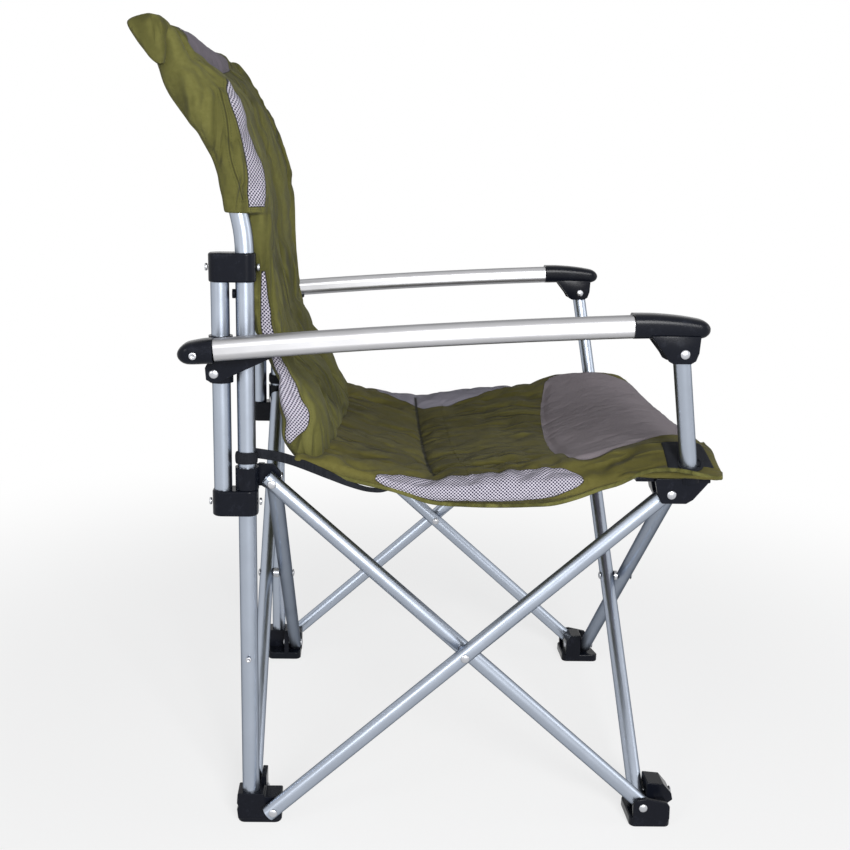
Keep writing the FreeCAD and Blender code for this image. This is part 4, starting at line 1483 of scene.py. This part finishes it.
    def half(self, whole: Piece, name: str, ahead: bool) -> Piece:
        """The seat on one side of the fold, sewn shut there; the rear's edge is tucked under the front's.

        Args:
            whole: the swollen seat.
            name: the piece's name.
            ahead: whether it is the front half.
        Returns:
            The half.
        """
        stations = self.stations()
        columns = 2 * self.columns
        grid = places(whole).reshape(len(stations), columns, 3)
        inwards = -outwards(whole).reshape(len(stations), columns, 3) * (1, 0, 1)
        rest = np.zeros(len(whole.data.vertices) * 3)
        whole.data.attributes["rest"].data.foreach_get("vector", rest)
        rest = rest.reshape(len(stations), columns, 3)
        at_fold = int(np.argmin(np.abs(stations - self.fold_at)))
        rows = slice(at_fold, None) if ahead else slice(0, at_fold + 2)
        loops = grid[rows].copy()
        if not ahead:
            loops[-1] += inwards[at_fold + 1] * 1.2 * MM
            loops[-2] += inwards[at_fold] * 0.2 * MM
        steps = np.linalg.norm(np.diff(grid, axis=0), axis=2).mean(axis=1)
        start = float(steps[:at_fold].sum()) if ahead else 0.0
        piece = quilted_skin(name, loops, (0, self.columns), start)
        piece.data.attributes["rest"].data.foreach_set("vector", rest[rows].astype(np.float32).ravel())
        ring = range(columns) if ahead else range((len(loops) - 1) * columns, len(loops) * columns)
        pick(piece)
        mode("EDIT")
        bpy.ops.mesh.select_mode(type="EDGE")
        bpy.ops.mesh.select_all(action="DESELECT")
        mode("OBJECT")
        ends = set(ring)
        for edge in piece.data.edges:
            edge.select = ends.issuperset(edge.vertices)
        mode("EDIT")
        bpy.ops.transform.edge_crease(value=1.0)
        bpy.ops.mesh.mark_sharp()
        mode("OBJECT")
        finer(piece)
        return piece

    def binding(self, side: Side, ahead: bool, covers: "Covers") -> Piece:
        """The bound edge that runs along one side of one half, under the net.

        Args:
            side: the sitter's side.
            ahead: whether it is on the front half.
            covers: the cloths.
        Returns:
            The binding.
        """
        start, end = (0.3, self.front + 6) if ahead else (0.0, self.rear - 6)
        stations = np.linspace(start, end, 44)
        wide = line_through(self.reach)(stations) - 1.0
        low, top = line_through(self.edge_low)(stations), line_through(self.edge_top)(stations)
        level = low + np.minimum(4.5, (top - low) * 0.3)
        path = row_places(side.value * (wide - 0.6), stations, level - 1.2)
        name = f"{side.word}_seat_binding_{'front' if ahead else 'rear'}"
        piece = cord_skin(name, path, (1.7, 2.6), 12)
        dress(piece, covers.plain)
        return piece


def cord_skin(name: str, path: Array, radii: Pair, count: int) -> Piece:
    """A closed oval bar along a path.

    Args:
        name: the piece's name.
        path: places along it, (n, 3), in millimetres.
        radii: half its width, level, and half its height.
        count: points in each ring.
    Returns:
        The object, in metres.
    """
    angle = around(count, math.pi / count)
    forward = np.gradient(path, axis=0)
    forward /= np.linalg.norm(forward, axis=1)[:, None]
    level = np.cross(forward, (0, 0, 1))
    level /= np.linalg.norm(level, axis=1)[:, None]
    rise = np.cross(level, forward)
    loops = (path[:, None] + radii[0] * level[:, None] * np.cos(angle)[None, :, None]
             + radii[1] * rise[:, None] * np.sin(angle)[None, :, None])
    return quilted_skin(name, loops * MM)


# ---- webbing

@dataclass
class SeatTop:
    """The finished seat's top surface, on which pieces are laid."""

    seat: SeatPad
    cover: str = "seat_front_cover"
    tree: BVHTree = field(init=False)

    def __post_init__(self) -> None:
        """Reads the finished cover."""
        self.tree = BVHTree.FromObject(bpy.data.objects[self.cover], bpy.context.evaluated_depsgraph_get())

    def levels(self, reach: Array, station: Array) -> Array:
        """The surface's height; past the cover it is that of the seat before it was quilted.

        Args:
            reach: signed distances from the middle plane, in millimetres.
            station: distances behind the crossing, in millimetres.
        Returns:
            One height for each pair, in millimetres.
        """
        levels = []
        for x, y in zip(reach, station):
            hit = self.tree.ray_cast(Vector((x, row_y(y), 700)) * MM, Vector((0, 0, -1)))[0]
            levels.append(hit.z / MM if hit else float(self.seat.height_at(np.array(x), float(y))))
        return np.array(levels)


@dataclass
class Webbings:
    """Black straps that hang the seat on the back tubes, and patches round the arm posts."""

    strap: Table = (
        (262, 490), (224, 484), (195, 475.5), (168, 465), (146, 455.5), (120, 447.5), (104, 447),
        (92, 451))
    strap_run: Pair = (262.0, 92.0)
    strap_reach: float = 263.0
    strap_tall: float = 12.5
    strap_half_thick: float = 1.4
    tube_centre: Pair = (268.0, 268.5)
    loop_levels: Pair = (477.0, 493.0)
    patch_corners: tuple[Pair, ...] = ((263, -233), (262, -281), (305, -287), (306, -232))
    patch_thick: Pair = (1.9, 3.0)
    post_foot: Pair = (302.5, -259.0)
    slot_half: Pair = (12.6, 13.4)
    rim_half: Pair = (2.3, 2.0)
    rim_lift: float = 2.2

    def build(self, seat: SeatPad, finish: Finish) -> None:
        """Makes both straps, their loops, and both patches with their rims.

        Args:
            seat: the finished seat.
            finish: the webbing.
        """
        top = SeatTop(seat)
        for side in Side:
            for piece in (self.hanger(side), self.loop(side)):
                self.attach(piece, side.word + "_rear_hub", finish)
            for piece in (self.patch(side, top), self.slot_rim(side, top)):
                self.attach(piece, side.word + "_front_hub", finish)

    @staticmethod
    def attach(piece: Piece, body: str, finish: Finish) -> None:
        """Finishes a piece and makes it ride on a body.

        Args:
            piece: the piece.
            body: the body's name.
            finish: the webbing.
        """
        finer(piece)
        dress(piece, finish)
        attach(piece, body)
        report(piece)

    def hanger(self, side: Side) -> Piece:
        """The strap from the back tube to the seat's edge, on edge and slightly twisted.

        Args:
            side: the sitter's side.
        Returns:
            The strap.
        """
        behind = np.linspace(*self.strap_run, 44)
        centre = line_through(self.strap)(behind)
        tall = self.strap_tall * (1 - 0.55 * soft_step(-behind, -200, -110)) / 2
        across = np.array([1.0, 1.0, 0.75, 0, -0.75, -1, -1, -1, -0.75, 0, 0.75, 1.0])
        up = np.array([0.45, 0.85, 1, 1, 1, 0.85, -0.45, -0.85, -1, -1, -1, -0.85])
        lean = 2.0 * np.sin((self.strap_run[0] - behind) / 60)
        lean += 9 * soft_step(-behind, -235, -165)
        x = self.strap_reach + lean[:, None] + self.strap_half_thick * across[None, :]
        z = centre[:, None] + tall[:, None] * up[None, :]
        return quilted_skin(side.word + "_seat_strap", row_places(side.value * x, behind[:, None], z) * MM)

    def loop(self, side: Side) -> Piece:
        """The strap's loop round the back tube, as a low ring.

        Args:
            side: the sitter's side.
        Returns:
            The loop.
        """
        low, top = self.loop_levels
        section = [(11.6, low), (13.6, low + 1), (13.9, (low + top) / 2), (13.6, top - 1), (11.6, top),
                   (11.4, (low + top) / 2)]
        loops = []
        for angle in around(48):
            slack = 1 + 0.05 * math.cos(angle - 2.0)
            loops.append([(side.value * (self.tube_centre[0] + radius * slack * math.cos(angle)),
                           row_y(self.tube_centre[1] + radius * slack * math.sin(angle)),
                           height + 1.2 * math.cos(angle)) for radius, height in section])
        return ring_skin(side.word + "_strap_loop", np.array(loops) * MM)

    def patch(self, side: Side, top: SeatTop) -> Piece:
        """A webbing patch with a raised hem, sewn on the seat round the post.

        Args:
            side: the sitter's side.
            top: the seat's surface.
        Returns:
            The patch.
        """
        corners = np.array(self.patch_corners)
        steps = 20
        s, t = np.meshgrid(np.linspace(0, 1, steps), np.linspace(0, 1, steps), indexing="ij")
        flat = (corners[0] * ((1 - s) * (1 - t))[..., None] + corners[1] * (s * (1 - t))[..., None]
                + corners[2] * (s * t)[..., None] + corners[3] * ((1 - s) * t)[..., None])
        rim = np.minimum(np.minimum(s, 1 - s), np.minimum(t, 1 - t))
        hem = bell(rim - 0.07, 0.045) - 0.5 * bell(rim - 0.16, 0.03)
        ground = top.levels(side.value * flat[..., 0].ravel(), flat[..., 1].ravel()).reshape(s.shape)
        above, below = ground + self.patch_thick[0] + hem, ground - self.patch_thick[1]
        loops = []
        for place, high, low in zip(flat, above, below):
            x, behind = side.value * place[:, 0], place[:, 1]
            loops.append(np.concatenate([row_places(x, behind, high), row_places(x, behind, low)[::-1]]))
        return quilted_skin(side.word + "_post_patch", np.array(loops) * MM)

    def slot_rim(self, side: Side, top: SeatTop) -> Piece:
        """The sewn rim of the patch's slot, an oval ring round the post.

        Args:
            side: the sitter's side.
            top: the seat's surface.
        Returns:
            The rim.
        """
        loops = []
        for angle in around(40):
            outward = np.array([math.cos(angle), math.sin(angle)])
            centre = np.array(self.post_foot) + np.array(self.slot_half) * outward
            base = float(top.levels(centre[:1] * side.value, centre[1:])[0])
            wide, tall = self.rim_half
            loops.append([(side.value * (centre[0] + wide * math.cos(b) * outward[0]),
                           row_y(centre[1] + wide * math.cos(b) * outward[1]),
                           base + self.rim_lift + tall * math.sin(b))
                          for b in around(10)])
        return ring_skin(side.word + "_slot_rim", np.array(loops) * MM)


def ring_skin(name: str, loops: Array) -> Piece:
    """A closed ring from sections that follow one another round it.

    Args:
        name: the piece's name.
        loops: (sections, count, 3) places in metres.
    Returns:
        The object.
    """
    sections, count, _ = loops.shape
    faces = [(row * count + index, row * count + (index + 1) % count,
              (row + 1) % sections * count + (index + 1) % count, (row + 1) % sections * count + index)
             for row in range(sections) for index in range(count)]
    mesh = bpy.data.meshes.new(name)
    mesh.from_pydata(loops.reshape(-1, 3).tolist(), [], faces)
    return link(name, mesh)


# ---- covers

@dataclass
class Covers:
    """The sewn covers: where their patches and seams run, and the materials made of them.

    The seat's tables are read along the distance behind the crossing and the back's along the
    height; reaches with a sign are X, the others hold on both sides.
    """

    grey_rear: Table = ((-131.5, 2), (-132.5, 60), (-134.5, 110))
    grey_half_width: Table = (
        (-138, 150), (-144, 200), (-153, 236), (-166, 250), (-185, 251), (-210, 243), (-240, 228),
        (-270, 212), (-310, 204))
    grey_skew: float = 0.10
    net_stations: tuple[float, ...] = (-138, -120, -99, -60, -20, 20, 40, 60, 100, 114)
    near_net: tuple[float, ...] = (-290, -270, -264, -262, -262, -263, -265, -266, -270, -282)
    far_net: tuple[float, ...] = (280, 250, 236, 217, 201, 193, 206, 221, 245, 272)
    net_lowest: tuple[float, ...] = (466, 451, 443, 438, 436, 435.5, 436, 441, 453, 462)
    net_highest: float = 530.0
    past_rim: float = 340.0
    head_reach: float = 158.0
    head_level: float = 953.0
    head_rise: float = 14.0
    head_top: float = 1010.0
    head_back: Table = ((940, 338), (960, 351), (985, 368), (1010, 386))
    head_deep: float = 120.0
    channel: Table = ((480, 104), (910, 117))
    upper_net: tuple[Table, Table] = (
        ((783, 245), (823, 247), (852, 256), (888, 262), (910, 266), (920, 274), (932, 288), (944, 318)),
        ((783, 262), (822, 265), (858, 272), (888, 280), (908, 286), (923, 288), (944, 321)))
    lower_net: tuple[Table, Table] = (
        ((499, 217), (509, 208), (526, 194), (538, 193), (553, 201), (578, 210), (610, 225), (638, 234),
         (674, 239), (709, 245)),
        ((499, 219), (504, 221), (526, 223), (558, 228), (572, 229), (611, 238), (638, 247), (674, 249),
         (710, 249)))
    strip_reach: float = 250.5
    drawn_reach: float = 246.0
    drawn_run: Pair = (860.0, 912.0)
    strip_end: float = 300.0
    sleeve_seam: Table = ((792, 268), (808, 273), (824, 279), (846, 284), (868, 286), (895, 290), (914, 295))
    seat: Finish = field(init=False)
    back_pad: Finish = field(init=False)
    bolster: Finish = field(init=False)
    plain: Finish = field(init=False)

    def __post_init__(self) -> None:
        """Makes the materials."""
        self.seat = self.seat_cover().make()
        self.back_pad = self.back_cover().make()
        self.bolster = self.bolster_cover().make()
        self.plain = Cover("plain_cloth", crease_run=(32.0, 32.0, 9.0), crease_depth=3.2).make()

    @staticmethod
    def head_line(x: Array) -> Array:
        """The headrest panel's lower edge at a distance from the middle."""
        return Covers.head_level + Covers.head_rise * (np.asarray(x) / Covers.head_reach) ** 2

    def seat_cover(self) -> Cover:
        """The seat's cloth: olive, with a net along each side and a grey patch in front.

        Returns:
            The cover, with its lines in the row frame.
        """
        grey = tuple((row_y(y), x) for y, x in (*self.grey_rear, *self.grey_half_width))
        nothing = level_line([y for y, _ in grey], -1)
        rows = [row_y(y) for y in self.net_stations]
        near = Limit(Axis.X, Axis.Y, level_line(rows, -self.past_rim), tuple(zip(rows, self.near_net)))
        far = Limit(Axis.X, Axis.Y, tuple(zip(rows, self.far_net)), level_line(rows, self.past_rim))
        tall = Limit(Axis.Z, Axis.Y, tuple(zip(rows, self.net_lowest)), level_line(rows, self.net_highest))
        front = Limit(Axis.X, Axis.SKEWED, nothing, grey, True)
        cross = level_line((-246, 240), row_y(SeatPad.cross_seam))
        long = level_line((row_y(-116), row_y(213)), SeatPad.long_seam)
        # the seat's olive is the cloth of the back painted darker and browner: painted shade on the seat's
        # top
        return Cover("seat_cloth", olive=(0.152, 0.140, 0.039), olive_deep=(0.094, 0.083, 0.021),
                     crease_run=(20.0, 5.5, 10.0), crease_depth=4.6, skew=self.grey_skew,
                     patches=(Patch(Cloth.NET, (near, tall)), Patch(Cloth.NET, (far, tall)),
                              Patch(Cloth.GREY, (front,))),
                     seams=(Seam(Axis.Y, Axis.X, cross, width=3.6, dark=0.9),
                            Seam(Axis.X, Axis.Y, long, True)))

    def back_cover(self) -> Cover:
        """The middle pad's cloth: olive, with a grey headrest panel on its front.

        Returns:
            The cover, with its lines in the row frame.
        """
        right = [(float(x), float(self.head_line(x))) for x in np.linspace(0, self.head_reach, 7)]
        lower_edge = tuple((-x, z) for x, z in reversed(right[1:])) + tuple(right)
        tall = Limit(Axis.Z, Axis.X, lower_edge, level_line([x for x, _ in lower_edge], self.head_top))
        back = in_row(self.head_back)
        deep = Limit(Axis.Y, Axis.Z, tuple((z, y - self.head_deep) for z, y in back), back)
        # the headrest's grey is the seat patch's grey cloth painted darker: painted shade on the headrest
        return Cover("back_cloth", grey=(0.165, 0.145, 0.172), patches=(Patch(Cloth.GREY, (tall, deep)),),
                     seams=(Seam(Axis.X, Axis.Z, self.channel, True),))

    def bolster_cover(self) -> Cover:
        """The bolsters' cloth: olive, with two net strips on the outside.

        Returns:
            The cover, with its lines in the row frame.
        """
        return Cover("bolster_cloth", crease_run=(24.0, 26.0, 5.0), crease_depth=6.4,
                     patches=(self.strip(*self.upper_net), self.strip(*self.lower_net)),
                     seams=(Seam(Axis.Y, Axis.Z, in_row(self.sleeve_seam)),))

    def strip(self, low: Table, high: Table) -> Patch:
        """A net strip on the outside of a bolster.

        Args:
            low: its front edge, behind the crossing, by height.
            high: its rear edge.
        Returns:
            The patch.
        """
        start, end = self.drawn_run
        inner = tuple((z, self.drawn_reach if start < z < end else self.strip_reach) for z, _ in low)
        outer = level_line([z for z, _ in low], self.strip_end)
        return Patch(Cloth.NET, (Limit(Axis.Y, Axis.Z, in_row(low), in_row(high)),
                                 Limit(Axis.X, Axis.Z, inner, outer, True)))


# ---- fasteners

# reach, distance behind the crossing, height, and where the head looks
Spot = tuple[float, float, float, Facing]


@dataclass
class Fasteners:
    """Pan-headed screws on the clamps, the back tubes and the arms' rear caps."""

    radius: float = 4.3
    height: float = 2.6
    leg_radius: float = 3.6
    rim_width: float = 0.45
    crown_height: float = 0.25
    recess_depth: float = 0.9
    frame_spots: tuple[Spot, ...] = (
        (268, 253.6, 714, Facing.FRONT), (268, 311.9, 714, Facing.REAR),
        (268, 253.6, 430, Facing.FRONT), (268, 311.9, 430, Facing.REAR))
    leg_spot: Spot = (280.6, 268.5, 227.25, Facing.SIDE)
    cap_spot: Spot = (336.4, 321.6, 619.8, Facing.SIDE)

    def build(self, finish: Finish) -> None:
        """Makes the screws of both sides.

        Args:
            finish: the bright steel.
        """
        broad, slim = self.head("head_broad", self.radius), self.head("head_slim", self.leg_radius)
        for side in Side:
            heads = [self.placed(broad, side, spot) for spot in self.frame_spots]
            heads.append(self.placed(slim, side, self.leg_spot))
            frame_screws = self.joined(side.word + "_frame_screws", heads, finish)
            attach(frame_screws, side.word + "_rear_leg")
            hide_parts(side.word + "_frame_rivets")
            cap_head = self.placed(broad, side, self.cap_spot)
            cap_screw = self.joined(side.word + "_cap_screw", [cap_head], finish)
            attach(cap_screw, side.word + "_arm")
        for head in (broad, slim):
            bpy.data.objects.remove(head)

    def head(self, name: str, radius: float) -> Piece:
        """One head, standing on the origin along +Z: a rounded rim and a cross recess.

        Args:
            name: the pattern's name; it is removed once it is copied.
            radius: its radius in millimetres.
        Returns:
            The pattern.
        """
        clean_start()
        bpy.ops.mesh.primitive_cylinder_add(vertices=24, radius=radius * MM, depth=self.height * MM,
                                            location=(0, 0, self.height / 2 * MM))
        piece = bpy.context.object
        piece.name = name
        bpy.ops.object.transform_apply()
        top = next(face.index for face in piece.data.polygons if face.normal.z > 0.9)
        mode("EDIT")
        bpy.ops.mesh.select_mode(type="FACE")
        bpy.ops.mesh.select_all(action="DESELECT")
        mode("OBJECT")
        piece.data.polygons[top].select = True
        mode("EDIT")
        bpy.ops.mesh.inset(thickness=radius * 0.30 * MM)
        bpy.ops.transform.translate(value=(0, 0, self.crown_height * MM))
        bpy.ops.mesh.inset(thickness=radius * 0.26 * MM)
        bpy.ops.mesh.extrude_region_move(TRANSFORM_OT_translate={"value": (0, 0, -self.recess_depth * MM)})
        bpy.ops.transform.resize(value=(0.75, 0.75, 1))
        mode("OBJECT")
        soften(piece, self.rim_width)
        bpy.ops.object.shade_smooth_by_angle(angle=math.radians(40))
        return piece

    @staticmethod
    def placed(pattern: Piece, side: Side, spot: Spot) -> Piece:
        """A copy of a head with its own mesh, turned outwards and moved to its spot.

        Args:
            pattern: the head to copy.
            side: the sitter's side.
            spot: where it goes.
        Returns:
            The copy.
        """
        reach, behind, level, facing = spot
        head = pattern.copy()
        head.data = pattern.data.copy()
        place = Vector((side.value * reach, row_y(behind), level)) * MM
        head.data.transform(Matrix.Translation(place) @ facing.turn(side))
        bpy.context.scene.collection.objects.link(head)
        return head

    @staticmethod
    def joined(name: str, heads: list[Piece], finish: Finish) -> Piece:
        """One finished piece from heads.

        Args:
            name: the piece's name.
            heads: the heads, which become one.
            finish: the bright steel.
        Returns:
            The piece.
        """
        clean_start()
        for head in heads:
            head.select_set(True)
        bpy.context.view_layer.objects.active = heads[0]
        if len(heads) > 1:
            bpy.ops.object.join()
        piece = bpy.context.object
        piece.name = name
        dress(piece, finish)
        report(piece)
        return piece


# ---- arm caps

@dataclass(frozen=True)
class Nose:
    """Outline of one moulded nose seen from the side; lengths along the arm are in the row frame."""

    start: float
    tip: float
    top: Table
    bottom: Table
    end_round: float


@dataclass
class ArmCaps:
    """Moulded end caps of the arms: rounded noses, the front one over two lugs that hold the post."""

    front: Nose = Nose(-218.9, -306.0,
                       ((-219, 671.0), (-240, 671), (-252, 670.4), (-275, 668.3), (-306, 663)),
                       ((-219, 642.4), (-254, 643.2), (-294, 643.4), (-306, 644)), 12.0)
    rear: Nose = Nose(257.7, 298.6, ((257, 637.7), (266, 637.4), (281, 634.8), (299, 630.5)),
                      ((257, 609.4), (281, 608.2), (299, 608.6)), 14.0)
    middle: float = 319.0
    half_width: float = 17.0
    squareness: float = 3.4
    lug: Table = (
        (-237, 647), (-255, 624.5), (-259, 618), (-264, 615.4), (-284, 615.4), (-289.5, 619),
        (-292.5, 628), (-293.5, 647))
    lug_thickness: float = 4.2
    lug_softened: float = 0.8
    steps: int = 22
    corners: int = 40

    def build(self, finish: Finish) -> None:
        """Makes the caps of both arms.

        Args:
            finish: the moulded plastic.
        """
        for side in Side:
            back = self.nose(side, self.rear)
            back.name = side.word + "_arm_back_cap"
            self.finished(back, finish, side, "_arm_rear_cap")
            nose = self.nose(side, self.front)
            lugs = [self.lug_plate(side, self.middle + share * (self.half_width - self.lug_thickness / 2))
                    for share in (-1, 1)]
            clean_start()
            for piece in (nose, *lugs):
                piece.select_set(True)
            bpy.context.view_layer.objects.active = nose
            bpy.ops.object.join()
            cap = bpy.context.object
            cap.name = side.word + "_arm_nose_cap"
            self.finished(cap, finish, side, "_arm_front_cap")

    @staticmethod
    def finished(cap: Piece, finish: Finish, side: Side, old: str) -> None:
        """Smooths, dresses and attaches a cap, and hides the frame's own cap that it takes the place of.

        Args:
            cap: the finished shape.
            finish: the moulded plastic.
            side: the sitter's side.
            old: the end of the name of the node that it replaces.
        """
        pick(cap)
        bpy.ops.object.shade_smooth_by_angle(angle=math.radians(42))
        dress(cap, finish)
        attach(cap, side.word + "_arm")
        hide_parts(side.word + old)
        report(cap)

    def nose(self, side: Side, shape: Nose) -> Piece:
        """A nose: a disc extruded along the arm, then drawn to its rounded outline.

        Args:
            side: the sitter's side.
            shape: the outline to follow.
        Returns:
            The nose, with its faces outwards.
        """
        clean_start()
        bpy.ops.mesh.primitive_circle_add(vertices=self.corners, radius=self.half_width * MM,
                                          fill_type="NGON", rotation=(math.radians(90), 0, 0))
        piece = bpy.context.object
        bpy.ops.object.transform_apply()
        mode("EDIT")
        bpy.ops.mesh.select_all(action="SELECT")
        for _ in range(self.steps):
            bpy.ops.mesh.extrude_region_move(TRANSFORM_OT_translate={"value": (0, -MM, 0)})
        mode("OBJECT")
        points = places(piece)
        share = np.clip(-points[:, 1] / MM / self.steps, 0, 1)
        along = shape.start + (shape.tip - shape.start) * np.sin(share * math.pi / 2)
        turn = np.arctan2(points[:, 2], points[:, 0])
        draw_out = (np.abs(np.cos(turn)) ** self.squareness + np.abs(np.sin(turn)) ** self.squareness)
        draw_out = draw_out ** (-1 / self.squareness)
        near_tip = np.clip(np.abs(along - shape.tip) / shape.end_round, 0, 1)
        rounded = np.maximum(np.sqrt(1 - (1 - near_tip) ** 2), 0.06)
        high, low = line_through(shape.top)(along), line_through(shape.bottom)(along)
        x = side.value * self.middle + self.half_width * np.cos(turn) * draw_out * (0.30 + 0.70 * rounded)
        z = (high + low) / 2 + (high - low) / 2 * np.sin(turn) * draw_out * rounded
        put(piece, np.stack([x, along, z], axis=1) * MM)
        turn_out(piece)
        return piece

    def lug_plate(self, side: Side, reach: float) -> Piece:
        """One lug: a flat outline given its thickness, with softened edges.

        Args:
            side: the sitter's side.
            reach: its middle plane's distance from the chair's, in millimetres.
        Returns:
            The lug.
        """
        clean_start()
        bpy.ops.mesh.primitive_circle_add(vertices=len(self.lug), radius=0.02, fill_type="NGON")
        piece = bpy.context.object
        inner = side.value * reach - self.lug_thickness / 2
        put(piece, np.array([(inner, y, z) for y, z in self.lug]) * MM)
        mode("EDIT")
        bpy.ops.mesh.select_all(action="SELECT")
        bpy.ops.mesh.extrude_region_move(TRANSFORM_OT_translate={"value": (self.lug_thickness * MM, 0, 0)})
        mode("OBJECT")
        turn_out(piece)
        soften(piece, self.lug_softened)
        return piece

# ---- frame and studio

@dataclass
class FrameDressing:
    """Better materials for the nodes that show as they are."""

    tube: Metal = Metal("tube_satin", (0.385, 0.428, 0.50), 0.30)
    arm: Metal = Metal("arm_satin", (0.48, 0.48, 0.495), 0.40, 0.05, edge_tint=0.25)
    rivet: Metal = Metal("rivet_bright", (0.50, 0.51, 0.54), 0.28, 0.08)
    plastic: Moulding = Moulding("moulding_black", (0.005, 0.006, 0.010))

    def build(self) -> dict[str, Finish]:
        """Dresses every node by its slot in the record.

        Returns:
            The finish of each slot.
        """
        finishes = {"frame_aluminium": self.tube.make(), "arm_aluminium": self.arm.make(),
                    "steel_rivet": self.rivet.make(), "black_plastic": self.plastic.make()}
        for row in frame["record"]["subparts"]:
            finish = finishes.get(row["material_slot"])
            if finish:
                dress(frame["nodes"][row["node"]], finish)
        LOG.info("frame: %d nodes dressed", len(frame["nodes"]))
        return finishes


@dataclass
class Studio:
    """A pale floor, soft light and the camera."""

    place: Triple = (-1.6205, 0.0934, 0.8318)
    angles: Triple = (76.9015, -0.5748, -90.1241)
    lens: float = 48.8
    shift: Pair = (0.0744, 0.009)
    lamps: tuple[tuple[str, Triple, float, float], ...] = (
        ("key", (-3.3, -0.7, 1.6), 1.2, 122.0), ("side", (-2.5, 2.0, 1.5), 1.0, 18.0),
        ("front", (-0.6, -3.2, 1.2), 1.4, 12.0))
    aim_height: float = 0.55

    def build(self) -> None:
        """Makes the floor, the world, the lamps and the camera."""
        self.floor()
        self.world()
        for lamp in self.lamps:
            self.lamp(*lamp)
        data = bpy.data.cameras.new("view")
        data.lens = self.lens
        data.shift_x, data.shift_y = self.shift
        camera = bpy.data.objects.new("view", data)
        bpy.context.scene.collection.objects.link(camera)
        camera.location = self.place
        camera.rotation_euler = [math.radians(angle) for angle in self.angles]
        bpy.context.scene.camera = camera
        bpy.context.scene.view_settings.view_transform = "Standard"

    def floor(self) -> None:
        """A wide, pale, plain floor that keeps a soft shadow."""
        clean_start()
        bpy.ops.mesh.primitive_plane_add(size=24, location=(0, 0, -0.0005))
        ground = bpy.context.object
        ground.name = "floor"
        desk = Desk("floor_pale")
        desk.set(Base_Color=rgb(0.9, 0.9, 0.9), Roughness=0.9)
        rays = desk.node("LightPath")
        glow = desk.node("Emission")
        glow.inputs["Strength"].default_value = 1.0
        blend = desk.node("MixShader")
        seen = desk.math("MAXIMUM", rays.outputs["Is Camera Ray"], rays.outputs["Is Glossy Ray"])
        seen = desk.math("MAXIMUM", seen, rays.outputs["Is Transmission Ray"])
        away = desk.node("VectorMath", operation="LENGTH")
        desk.feed(away.inputs[0], desk.place())
        share = desk.ramp(away.outputs["Value"], 0.45, 1.7, 0.74, 1.0)
        desk.feed(blend.inputs[0], desk.math("MULTIPLY", seen, share))
        desk.feed(blend.inputs[1], desk.shader.outputs[0])
        desk.feed(blend.inputs[2], glow.outputs[0])
        desk.feed(desk.tree.nodes["Material Output"].inputs["Surface"], blend.outputs[0])
        dress(ground, desk.material)

    @staticmethod
    def world() -> None:
        """A pale sky that is white to the camera and in reflections."""
        sky = bpy.data.worlds.new("sky")
        bpy.context.scene.world = sky
        sky.use_nodes = True
        tree = sky.node_tree
        rays = tree.nodes.new("ShaderNodeLightPath")
        plain = tree.nodes["Background"]
        plain.inputs[0].default_value = rgb(0.80, 0.86, 0.95)
        plain.inputs[1].default_value = 0.11
        white = tree.nodes.new("ShaderNodeBackground")
        white.inputs[0].default_value = rgb(1, 1, 1)
        white.inputs[1].default_value = 1.0
        blend = tree.nodes.new("ShaderNodeMixShader")
        shown = rays.outputs["Is Camera Ray"]
        for name in ("Is Glossy Ray", "Is Transmission Ray"):
            either = tree.nodes.new("ShaderNodeMath")
            either.operation = "MAXIMUM"
            tree.links.new(shown, either.inputs[0])
            tree.links.new(rays.outputs[name], either.inputs[1])
            shown = either.outputs[0]
        tree.links.new(shown, blend.inputs[0])
        tree.links.new(plain.outputs[0], blend.inputs[1])
        tree.links.new(white.outputs[0], blend.inputs[2])
        tree.links.new(blend.outputs[0], tree.nodes["World Output"].inputs[0])

    def lamp(self, name: str, place: Triple, size: float, watts: float) -> None:
        """A square soft lamp that points at the chair.

        Args:
            name: the lamp's name.
            place: where it stands, in metres.
            size: the length of its side, in metres.
            watts: its power.
        """
        data = bpy.data.lights.new(name, "AREA")
        data.size = size
        data.energy = watts
        lamp = bpy.data.objects.new(name, data)
        bpy.context.scene.collection.objects.link(lamp)
        lamp.location = place
        aim = Vector((0, 0, self.aim_height)) - Vector(place)
        lamp.rotation_euler = aim.to_track_quat("-Z", "Y").to_euler()


def main() -> None:
    Studio().build()
    finishes = FrameDressing().build()
    covers = Covers()
    Backrest().build(covers)
    seat = SeatPad()
    seat.build(covers)
    Fasteners().build(finishes["steel_rivet"])
    ArmCaps().build(finishes["black_plastic"])
    Webbings().build(seat, Webbing("webbing_black", (0.010, 0.011, 0.014)).make())


if __name__ == "__main__":
    main()
